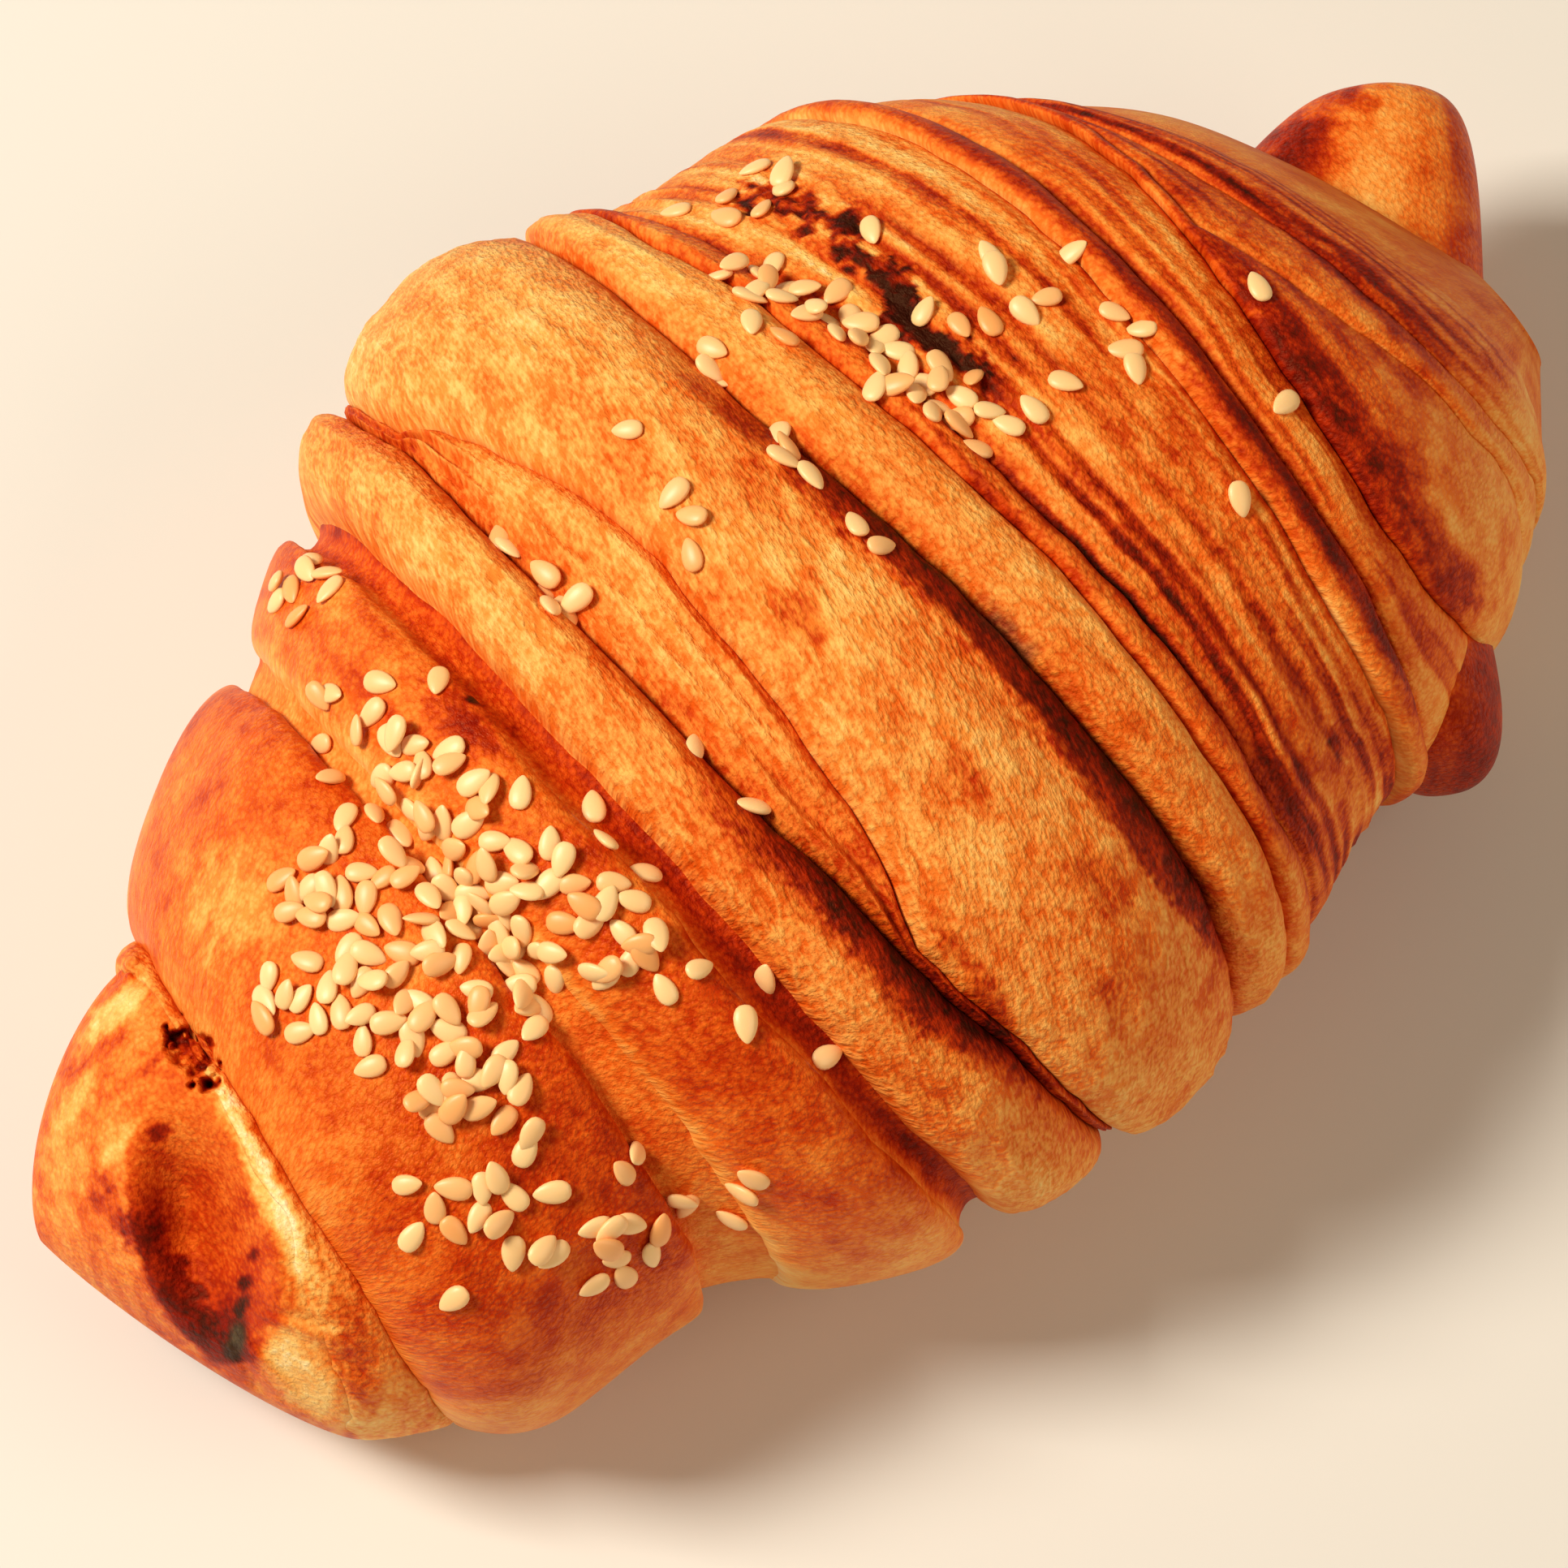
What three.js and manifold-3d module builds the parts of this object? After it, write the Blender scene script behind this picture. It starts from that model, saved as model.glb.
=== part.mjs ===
// A ham and cheese croissant: one fat, soft roll wound from overlapping layers of
// dough, with sesame seeds baked onto it. It is one piece of food, so it is one solid.
//
// Millimetres, +Z up. X runs along the roll, from the open nub on the left (-X) to the
// domed cap on the right (+X). +Y is the far side. The flat underside lies at z = 0,
// and the origin is the middle of the underside of the box that holds the roll.

import * as THREE from 'three';
import { mergeVertices } from 'three/addons/utils/BufferGeometryUtils.js';
import Module from 'manifold-3d';

const degrees = Math.PI / 180;
const mix = THREE.MathUtils.lerp;

// ---- Driving dimensions -------------------------------------------------------------

// The roll without its layers: half its width, its top, its underside and the sideways
// place of its middle, at stations along X.
const rollStations = [
  { x: -76, halfWidth: 18, top: 31.8, under: 2, side: -7.1 },
  { x: -68, halfWidth: 22.8, top: 38.4, under: 1, side: -9.4 },
  { x: -60, halfWidth: 29.4, top: 43.6, under: 0, side: -8.2 },
  { x: -45, halfWidth: 34.2, top: 49.9, under: 0, side: -4.8 },
  { x: -30, halfWidth: 41.2, top: 54.3, under: 0, side: -5.3 },
  { x: -18, halfWidth: 47.6, top: 56, under: 0, side: -3.3 },
  { x: -5, halfWidth: 50.8, top: 59, under: 0, side: -1.4 },
  { x: 8, halfWidth: 50.8, top: 59.7, under: 0, side: -1.5 },
  { x: 20, halfWidth: 48.4, top: 57.7, under: 0, side: -2.8 },
  { x: 32, halfWidth: 43.6, top: 55.3, under: 0, side: -1 },
  { x: 42, halfWidth: 39.8, top: 52.2, under: 0, side: -2.2 },
  { x: 52, halfWidth: 33.6, top: 48.1, under: 0.5, side: -3.8 },
  { x: 60, halfWidth: 28, top: 42.9, under: 2, side: -5 },
  { x: 66, halfWidth: 21.1, top: 36.6, under: 5, side: -7.7 },
  { x: 71, halfWidth: 12.9, top: 29.4, under: 9, side: -10.1 },
  { x: 74, halfWidth: 7.4, top: 24.4, under: 16, side: -11.5 },
];
const boxMiddle = { x: 1.38, y: -1.43 }; // of the finished roll, in the stations' own places
const widestPart = 0.44; // height of the widest part, as a share of the section's height
const underBulge = 0.9; // share of the lower half that shows above the flat underside

// The lines where the layers meet, from left to right. A line is a hoop round the roll:
// x = at + tilt * cos(a) + bow * sin(a) + twist * sin(2a), with the angle a from the far
// side (0) over the top (90) to the near side (180). dip is its depth below the roll. The
// dough between a line and the next one swells by rise, full is how square that swelling
// is, and lean moves its crest: above 1 to the right. rows is its number of steps.
const layerLines = [
  { name: 'strip', at: -67.2, tilt: 4.7, bow: 0.3, twist: 0.4, dip: 1.6, rise: 0.6, full: 2, lean: 1, rows: 3 },
  { name: 'first', at: -62, tilt: 3.2, bow: -3.2, twist: -0.1, dip: 3.4, rise: 3.8, full: 2.6, lean: 1, rows: 8 },
  { name: 'groove', at: -39.7, tilt: 1.7, bow: -2, twist: -0.3, dip: 3, rise: -0.4, full: 2, lean: 1, rows: 2 },
  { name: 'second', at: -34.6, tilt: 0.9, bow: -4.4, twist: -0.9, dip: 2.4, rise: 2.6, full: 2.4, lean: 1, rows: 6 },
  { name: 'thread', at: -23.7, tilt: -2.5, bow: -5.5, twist: 0.9, dip: 1.4, rise: -0.8, full: 2, lean: 1, rows: 2 },
  { name: 'rope', at: -20.7, tilt: -2.1, bow: -4.6, twist: 0.9, dip: 3.4, rise: 4, full: 2.2, lean: 1, rows: 6 },
  { name: 'fold', at: -10.6, tilt: -3.5, bow: -7.2, twist: 0.9, dip: 3.2, rise: 1.4, full: 2, lean: 1, rows: 4 },
  { name: 'top', at: -25.4, tilt: -2.2, bow: 16, twist: 1.3, dip: 2.4, rise: 4.2, full: 2.5, lean: 1.1, rows: 8 },
  { name: 'sixth', at: 9.4, tilt: -0.8, bow: -2.1, twist: -1.8, dip: 5, rise: 2.4, full: 2.4, lean: 1, rows: 5 },
  { name: 'ridge', at: 14.1, tilt: -2.5, bow: 1.5, twist: -1, dip: 4.2, rise: 1.8, full: 2, lean: 1, rows: 3 },
  { name: 'trough', at: 16.3, tilt: -4.3, bow: 2.5, twist: 0.2, dip: 4.4, rise: 1.2, full: 2.6, lean: 1.2, rows: 7 },
  { name: 'washed', at: 32.8, tilt: -2.9, bow: 4.8, twist: 2.2, dip: 2, rise: 2, full: 2, lean: 1, rows: 3 },
  { name: 'collar', at: 36.4, tilt: -2.9, bow: 4.8, twist: 2.2, dip: 2, rise: 1.2, full: 2.2, lean: 1, rows: 4 },
  { name: 'cap', at: 46.4, tilt: -3.7, bow: 0.6, twist: 4.4, dip: 2, rise: 1.8, full: 2.2, lean: 0.7, rows: 4 },
  { name: 'bulge', at: 48.2, tilt: -11.2, bow: 3.1, twist: -0.5, dip: 1.2, rise: 0.8, full: 2, lean: 1, rows: 3 },
  { name: 'streak', at: 54.8, tilt: -9.2, bow: 2.4, twist: 0.9, dip: 1.4, rise: 1, full: 2, lean: 1, rows: 3 },
  { name: 'rim', at: 56.1, tilt: -9.6, bow: 8.1, twist: -0.7, dip: 1, rise: 0, full: 2, lean: 1, rows: 6 },
];
const leastWidth = 1.2; // between two lines, where a layer runs out under the next
const underRelief = 0.35; // share of the relief that is left on the underside
const columnsOver = 24; // steps round the upper half of the roll
const columnsUnder = 10; // and round the lower half

// The left end: a blunt face that slopes from the strip's line down to a point low on the left.
const nub = { tip: new THREE.Vector3(-81.5, 4.9, 12.6), rows: 13, round: 1.42, roundFar: 0.06, roundTop: 0.14 };

// The oval pocket in that face, as it is seen square on from viewTurn round and viewTilt above:
// its middle, where its long axis points, half its length and width, and its depth. The bowl
// falls from its edge to where it is flat, and is deeper on its left side by skew.
const viewTurn = -40 * degrees;
const viewTilt = 68 * degrees;
const pocket = {
  middle: new THREE.Vector3(-68.9, -4.3, 15.6), turn: -76 * degrees, halfLength: 12.6, halfWidth: 6.4,
  depth: 6.5, skew: 0.3, flat: 0.15, edge: 1.04, lowest: -0.4,
};

const capTip = new THREE.Vector3(75.4, -12.2, 20);

// Two ends of the wound dough that stand out of the roll: the horn on the far right and
// the tail low on the near right. Each is a blunt lobe along a line, with half its width
// across and half its height at both ends of the line. blunt is how square its tip is, and
// turn is the way its width points, which is square on to the way the roll's right end faces.
const horn = {
  from: new THREE.Vector3(58.5, -2.4, 19), to: new THREE.Vector3(80.2, 9.9, 22),
  across: 17.5, acrossTip: 8.6, up: 11, upTip: 6, blunt: 5, turn: 140 * degrees,
};
const tail = {
  from: new THREE.Vector3(50, -25, 19), to: new THREE.Vector3(41.5, -42.6, 16.5),
  across: 7.6, acrossTip: 7.2, up: 13, upTip: 12, blunt: 3.6, turn: -40 * degrees,
};

// Sesame seeds, in patches: a patch's middle as x and the angle round the roll, how far it
// spreads along the roll and round it, and how many seeds it has.
const seedSize = { length: 3.1, width: 2.1, height: 1.1, sunk: 0.42 };
const seedPatches = [
  { x: -45, angle: 88, along: 11.5, round: 10, count: 58 },
  { x: -52, angle: 118, along: 9, round: 12, count: 12 },
  { x: -33, angle: 62, along: 5, round: 15, count: 8 },
  { x: 19, angle: 72, along: 7, round: 11, count: 26 },
  { x: 31, angle: 62, along: 6, round: 10, count: 6 },
];
const seedsApart = 2.5; // between the middles of two seeds
const bellWidth = 1.4; // how far a patch thins out past its spread
const shareJitter = [0.2, 0.8]; // within a seed's own share of its patch
const bearingJitter = 0.9;
const slopeReach = 0.9; // how far from a seed's middle the slope under it is measured
const rollRadius = 40; // of the roll's middle
const seedSteps = { round: 6, along: 3 };

// ---- The roll -------------------------------------------------------------------------

const stationKeys = ['halfWidth', 'top', 'under', 'side'];
const stationCurve = new THREE.CubicInterpolant(
  rollStations.map((station) => station.x),
  rollStations.flatMap((station) => stationKeys.map((key) => station[key])),
  stationKeys.length,
);

// A point of the roll's surface at x and angle, moved out by offset.
function rollPoint(x, angle, offset) {
  const [halfWidth, top, under, side] = stationCurve.evaluate(x);
  const middle = under + widestPart * (top - under);
  const reach = Math.sin(angle) > 0 ? top - middle : (middle - under) / underBulge;
  const y = side + (halfWidth + offset) * Math.cos(angle);
  const z = middle + (reach + offset) * Math.sin(angle);
  return new THREE.Vector3(x, y, Math.max(z, under, 0));
}

// The x of every line at an angle. A line keeps clear of the one on its left.
function linesAt(angle) {
  const places = [];
  for (const line of layerLines) {
    const x = line.at + line.tilt * Math.cos(angle) + line.bow * Math.sin(angle)
      + line.twist * Math.sin(2 * angle);
    places.push(places.length ? Math.max(x, places.at(-1) + leastWidth) : x);
  }
  return places;
}

// The relief is full on the top and sides, and fades on the underside.
function reliefAt(angle) {
  return mix(1, underRelief, Math.max(0, -Math.sin(angle)));
}

// A point of layer number `index`, at share t of the way across it.
function layerPoint(index, t, angle) {
  const layer = layerLines[index];
  const next = layerLines[index + 1];
  const places = linesAt(angle);
  const turn = Math.PI * t;
  const across = (1 - Math.sign(Math.cos(turn)) * Math.abs(Math.cos(turn)) ** (2 / layer.full)) / 2;
  const x = mix(places[index], places[index + 1], across ** (1 / layer.lean));
  const swell = layer.rise * Math.abs(Math.sin(turn)) ** (2 / layer.full);
  const offset = reliefAt(angle) * (swell - mix(layer.dip, next.dip, across));
  return rollPoint(x, angle, offset);
}

// The directions of the view that the pocket is drawn in: to its right, up it and out of it.
const viewRight = new THREE.Vector3(Math.cos(viewTurn), Math.sin(viewTurn), 0);
const viewOut = new THREE.Vector3(
  Math.sin(viewTurn) * Math.cos(viewTilt), -Math.cos(viewTurn) * Math.cos(viewTilt), Math.sin(viewTilt),
);
const viewUp = viewOut.clone().cross(viewRight);

// The pocket's depth under a point of the nub, at an angle round it. The underside has none.
function pocketDepth(point, angle) {
  const away = point.clone().sub(pocket.middle);
  const sideways = away.dot(viewRight);
  const upwards = away.dot(viewUp);
  const long = (sideways * Math.cos(pocket.turn) + upwards * Math.sin(pocket.turn)) / pocket.halfLength;
  const short = (upwards * Math.cos(pocket.turn) - sideways * Math.sin(pocket.turn)) / pocket.halfWidth;
  const bowl = 1 - THREE.MathUtils.smoothstep(Math.hypot(long, short), pocket.flat, pocket.edge);
  const upperSide = THREE.MathUtils.smoothstep(Math.sin(angle), pocket.lowest, 0);
  return pocket.depth * bowl * (1 - pocket.skew * short) * upperSide;
}

// A point of the nub, at share t of the way from the strip's line to the tip: the section
// shrinks towards the tip along a superellipse.
function nubPoint(t, angle) {
  const foot = rollPoint(linesAt(angle)[0], angle, -layerLines[0].dip * reliefAt(angle));
  const round = nub.round + nub.roundFar * Math.cos(angle) + nub.roundTop * Math.sin(angle);
  const turn = t * Math.PI / 2;
  const shrink = Math.cos(turn) ** (2 / round);
  const forward = Math.sin(turn) ** (2 / round);
  const point = new THREE.Vector3(
    mix(foot.x, nub.tip.x, forward),
    mix(nub.tip.y, foot.y, shrink),
    mix(nub.tip.z, foot.z, shrink),
  );
  return point.addScaledVector(viewOut, -pocketDepth(point, angle));
}

// A point of the cap's end, at share t of the way from the rim to the cap's tip.
function capPoint(t, angle) {
  const rim = layerLines.at(-1);
  const x = mix(linesAt(angle).at(-1), rollStations.at(-1).x, Math.sin(t * Math.PI / 2));
  return rollPoint(x, angle, -rim.dip * reliefAt(angle) * (1 - t));
}

// Angles round the roll, closer together on the upper half.
function columnAngles() {
  const angles = [];
  for (let i = 0; i < columnsOver; i += 1) angles.push(Math.PI * i / columnsOver);
  for (let i = 0; i < columnsUnder; i += 1) angles.push(Math.PI * (1 + i / columnsUnder));
  return angles;
}

// Rings of points along the roll, from the nub to the cap, between two poles.
function rollGeometry() {
  const angles = columnAngles();
  const rings = [];
  for (let row = nub.rows - 1; row > 0; row -= 1) {
    rings.push(angles.map((angle) => nubPoint(row / nub.rows, angle)));
  }
  layerLines.slice(0, -1).forEach((layer, index) => {
    for (let row = 0; row < layer.rows; row += 1) {
      rings.push(angles.map((angle) => layerPoint(index, row / layer.rows, angle)));
    }
  });
  const capRows = layerLines.at(-1).rows;
  for (let row = 0; row < capRows; row += 1) {
    rings.push(angles.map((angle) => capPoint(row / capRows, angle)));
  }
  return ringsGeometry(rings, nubPoint(1, 0), capTip);
}

// A closed shape through rings that turn from +Y over the top, with a point at each end.
function ringsGeometry(rings, first, last) {
  const points = [first, ...rings.flat(), last];
  const count = rings[0].length;
  const at = (ring, column) => 1 + ring * count + (column % count);
  const faces = [];
  for (let column = 0; column < count; column += 1) {
    faces.push(0, at(0, column + 1), at(0, column));
    for (let ring = 0; ring < rings.length - 1; ring += 1) {
      const corners = [at(ring, column), at(ring, column + 1), at(ring + 1, column + 1), at(ring + 1, column)];
      faces.push(corners[0], corners[1], corners[2], corners[0], corners[2], corners[3]);
    }
    faces.push(points.length - 1, at(rings.length - 1, column), at(rings.length - 1, column + 1));
  }
  const geometry = new THREE.BufferGeometry().setFromPoints(points);
  geometry.setIndex(faces);
  return geometry;
}

// ---- The horn and the tail --------------------------------------------------------------

const lobeRings = 9;
const lobeColumns = 16;
const lobeClearance = 1; // above the underside

// A lobe from inside the roll to a blunt end: its section is an ellipse that shrinks along
// the line as a superellipse does.
function lobeGeometry(lobe) {
  const ahead = lobe.to.clone().sub(lobe.from);
  const across = new THREE.Vector3(Math.cos(lobe.turn), Math.sin(lobe.turn), 0);
  const rings = [];
  for (let ring = 0; ring < lobeRings; ring += 1) {
    const turn = ring / lobeRings * Math.PI / 2;
    const share = Math.sin(turn) ** (2 / lobe.blunt);
    const taper = Math.cos(turn) ** (2 / lobe.blunt);
    const wide = taper * mix(lobe.across, lobe.acrossTip, share);
    const high = taper * mix(lobe.up, lobe.upTip, share);
    const middle = lobe.from.clone().addScaledVector(ahead, share);
    const points = [];
    for (let column = 0; column < lobeColumns; column += 1) {
      const angle = column / lobeColumns * Math.PI * 2;
      const point = middle.clone().addScaledVector(across, wide * Math.cos(angle));
      point.z = Math.max(point.z + high * Math.sin(angle), lobeClearance);
      points.push(point);
    }
    rings.push(points);
  }
  return ringsGeometry(rings, lobe.from, lobe.to);
}

// ---- The seeds ----------------------------------------------------------------------------

// A number from 0 to 1 that looks random but is always the same for the same seed.
function scatter(number, salt) {
  const value = Math.sin(number * 12.9898 + salt * 78.233) * 43758.5453;
  return value - Math.floor(value);
}

// The layer and share of it that lie at x, at an angle.
function layerPlace(x, angle) {
  const places = linesAt(angle);
  const index = places.findLastIndex((place) => place <= x);
  const layer = layerLines[index];
  const across = ((x - places[index]) / (places[index + 1] - places[index])) ** layer.lean;
  const cosine = 1 - 2 * across;
  return { index, t: Math.acos(Math.sign(cosine) * Math.abs(cosine) ** (layer.full / 2)) / Math.PI };
}

// The surface point at x and angle.
function surfacePoint(x, angle) {
  const { index, t } = layerPlace(x, angle);
  return layerPoint(index, t, angle);
}

// A seed lying on the roll at x and angle, turned by `turn`: a flat drop shape.
function seedGeometry(x, angle, turn) {
  const girth = slopeReach / rollRadius;
  const middle = surfacePoint(x, angle);
  const along = surfacePoint(x + slopeReach, angle).sub(surfacePoint(x - slopeReach, angle));
  const round = surfacePoint(x, angle + girth).sub(surfacePoint(x, angle - girth));
  const out = round.cross(along).normalize();
  const front = along.normalize().applyAxisAngle(out, turn);
  const basis = new THREE.Matrix4().makeBasis(front, out.clone().cross(front), out);
  const geometry = new THREE.SphereGeometry(0.5, seedSteps.round, seedSteps.along).rotateZ(Math.PI / 2);
  geometry.scale(seedSize.length, seedSize.width, seedSize.height).applyMatrix4(basis);
  const seat = middle.addScaledVector(out, (0.5 - seedSize.sunk) * seedSize.height);
  return geometry.translate(seat.x, seat.y, seat.z);
}

// Every patch's seeds: they thin out from its middle as a bell curve does, at steps of the
// golden angle, each moved a little, and a seed too near an earlier one is left out.
function seedGeometries() {
  const goldenAngle = Math.PI * (3 - Math.sqrt(5));
  const seats = [];
  const geometries = [];
  seedPatches.forEach((patch, patchNumber) => {
    for (let number = 0; number < patch.count; number += 1) {
      const salt = patchNumber + 1;
      const share = (number + mix(...shareJitter, scatter(number, salt))) / patch.count;
      const spread = Math.sqrt(-bellWidth * Math.log(1 - share));
      const bearing = number * goldenAngle + bearingJitter * scatter(number, salt + 10);
      const x = patch.x + patch.along * spread * Math.cos(bearing);
      const girth = patch.round * spread * Math.sin(bearing);
      const angle = patch.angle * degrees + girth / stationCurve.evaluate(x)[0];
      const seat = surfacePoint(x, angle);
      if (seats.some((other) => other.distanceTo(seat) < seedsApart)) continue;
      seats.push(seat);
      geometries.push(seedGeometry(x, angle, Math.PI * scatter(number, salt + 20)));
    }
  });
  return geometries;
}

// ---- Joining ---------------------------------------------------------------------------------

const wasm = await Module();
wasm.setup();

function solidOf(geometry) {
  const bare = geometry.clone();
  bare.deleteAttribute('normal');
  bare.deleteAttribute('uv');
  const merged = mergeVertices(bare, 1e-4);
  const vertProperties = new Float32Array(merged.attributes.position.array);
  const triVerts = new Uint32Array(merged.index.array);
  return new wasm.Manifold(new wasm.Mesh({ numProp: 3, vertProperties, triVerts }));
}

function geometryOf(solid) {
  const mesh = solid.getMesh();
  const geometry = new THREE.BufferGeometry();
  geometry.setAttribute('position', new THREE.BufferAttribute(new Float32Array(mesh.vertProperties), 3));
  geometry.setIndex(new THREE.BufferAttribute(new Uint32Array(mesh.triVerts), 1));
  geometry.computeVertexNormals();
  return geometry;
}

const pieces = [rollGeometry(), lobeGeometry(horn), lobeGeometry(tail), ...seedGeometries()];
const leastEdge = 0.02; // where the seeds cut the crust into slivers, they are cleared away
const joined = pieces.map(solidOf).reduce((whole, piece) => whole.add(piece)).simplify(leastEdge);
const crust = new THREE.MeshStandardMaterial({ color: 0xd9772b, roughness: 0.5, metalness: 0 });
const croissant = new THREE.Mesh(geometryOf(joined), crust);
croissant.name = 'croissant';
croissant.position.set(-boxMiddle.x, -boxMiddle.y, 0);

const part = new THREE.Group();
part.add(croissant);

export default part;
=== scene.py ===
import bpy
import numpy as np
from mathutils import Matrix, Vector


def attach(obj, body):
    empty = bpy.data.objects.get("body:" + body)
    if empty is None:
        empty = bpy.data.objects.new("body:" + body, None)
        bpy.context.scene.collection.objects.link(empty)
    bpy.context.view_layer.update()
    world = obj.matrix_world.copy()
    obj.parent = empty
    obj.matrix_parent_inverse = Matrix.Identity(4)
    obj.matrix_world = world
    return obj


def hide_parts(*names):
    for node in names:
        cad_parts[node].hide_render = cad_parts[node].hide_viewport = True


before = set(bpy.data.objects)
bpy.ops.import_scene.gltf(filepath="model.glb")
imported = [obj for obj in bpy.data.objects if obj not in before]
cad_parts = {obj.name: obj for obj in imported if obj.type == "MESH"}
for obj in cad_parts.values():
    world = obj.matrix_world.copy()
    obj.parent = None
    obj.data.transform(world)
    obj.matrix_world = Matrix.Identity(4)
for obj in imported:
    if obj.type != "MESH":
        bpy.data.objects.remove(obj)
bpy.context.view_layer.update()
print("stage: frame loaded")

mm = 0.001
fullTurn = 2 * np.pi

# the roll without its layers: at stations along X, in mm, half its width, its top, its
# underside and the sideways place of its middle
rollStations = np.array([
    (-76, 18, 31.8, 2, -7.1),
    (-68, 22.8, 38.4, 1, -9.4),
    (-60, 29.4, 43.6, 0, -8.2),
    (-45, 34.2, 49.9, 0, -4.8),
    (-30, 41.2, 54.3, 0, -5.3),
    (-18, 47.6, 56, 0, -3.3),
    (-5, 50.8, 59, 0, -1.4),
    (8, 50.8, 59.7, 0, -1.5),
    (20, 48.4, 57.7, 0, -2.8),
    (32, 43.6, 55.3, 0, -1),
    (42, 39.8, 52.2, 0, -2.2),
    (52, 33.6, 48.1, 0.5, -3.8),
    (60, 28, 42.9, 2, -5),
    (66, 21.1, 36.6, 5, -7.7),
    (71, 12.9, 29.4, 9, -10.1),
    (74, 7.4, 24.4, 16, -11.5),
], float)
boxMiddle = np.array([1.38, -1.43, 0])  # of the finished roll, in the stations' own places

# the lines where layers meet: x = at + tilt cos a + bow sin a + twist sin 2a, with the angle a
# from the far side (0) over the top (90) to the near side (180); dip is a line's depth, rise,
# full and lean are the swelling of the dough to its right
layerLines = [
    dict(name="strip", at=-67.2, tilt=4.7, bow=0.3, twist=0.4, dip=1.6, rise=0.6, full=2, lean=1),
    dict(name="first", at=-62, tilt=3.2, bow=-3.2, twist=-0.1, dip=3.4, rise=3.8, full=2.6, lean=1),
    dict(name="groove", at=-39.7, tilt=1.7, bow=-2, twist=-0.3, dip=3, rise=-0.4, full=2, lean=1),
    dict(name="second", at=-34.6, tilt=0.9, bow=-4.4, twist=-0.9, dip=2.4, rise=2.6, full=2.4, lean=1),
    dict(name="thread", at=-23.7, tilt=-2.5, bow=-5.5, twist=0.9, dip=1.4, rise=-0.8, full=2, lean=1),
    dict(name="rope", at=-20.7, tilt=-2.1, bow=-4.6, twist=0.9, dip=3.4, rise=4, full=2.2, lean=1),
    dict(name="fold", at=-10.6, tilt=-3.5, bow=-7.2, twist=0.9, dip=3.2, rise=1.4, full=2, lean=1),
    dict(name="top", at=-25.4, tilt=-2.2, bow=16, twist=1.3, dip=2.4, rise=4.2, full=2.5, lean=1.1),
    dict(name="sixth", at=9.4, tilt=-0.8, bow=-2.1, twist=-1.8, dip=5, rise=2.4, full=2.4, lean=1),
    dict(name="ridge", at=14.1, tilt=-2.5, bow=1.5, twist=-1, dip=4.2, rise=1.8, full=2, lean=1),
    dict(name="trough", at=16.3, tilt=-4.3, bow=2.5, twist=0.2, dip=4.4, rise=1.2, full=2.6, lean=1.2),
    dict(name="washed", at=32.8, tilt=-2.9, bow=4.8, twist=2.2, dip=2, rise=2, full=2, lean=1),
    dict(name="collar", at=36.4, tilt=-2.9, bow=4.8, twist=2.2, dip=2, rise=1.2, full=2.2, lean=1),
    dict(name="cap", at=46.4, tilt=-3.7, bow=0.6, twist=4.4, dip=2, rise=1.8, full=2.2, lean=0.7),
    dict(name="bulge", at=48.2, tilt=-11.2, bow=3.1, twist=-0.5, dip=1.2, rise=0.8, full=2, lean=1),
    dict(name="streak", at=54.8, tilt=-9.2, bow=2.4, twist=0.9, dip=1.4, rise=1, full=2, lean=1),
    dict(name="rim", at=56.1, tilt=-9.6, bow=8.1, twist=-0.7, dip=1, rise=0, full=2, lean=1),
]
lineNumber = {line["name"]: i for i, line in enumerate(layerLines)}
lineCount = len(layerLines)
leastWidth = 1.2  # mm between two lines, where a layer runs out under the next
widestPart = 0.44  # height of the widest part, as a share of the section's height
underBulge = 0.9  # share of the ellipse's lower half that is left above the flat underside
underRelief = 0.35  # share of the relief that is left on the underside

nub = dict(tip=(-81.5, 4.9, 12.6), round=1.42, roundFar=0.06, roundTop=0.14)
capTip = (75.4, -12.2, 20)

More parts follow.
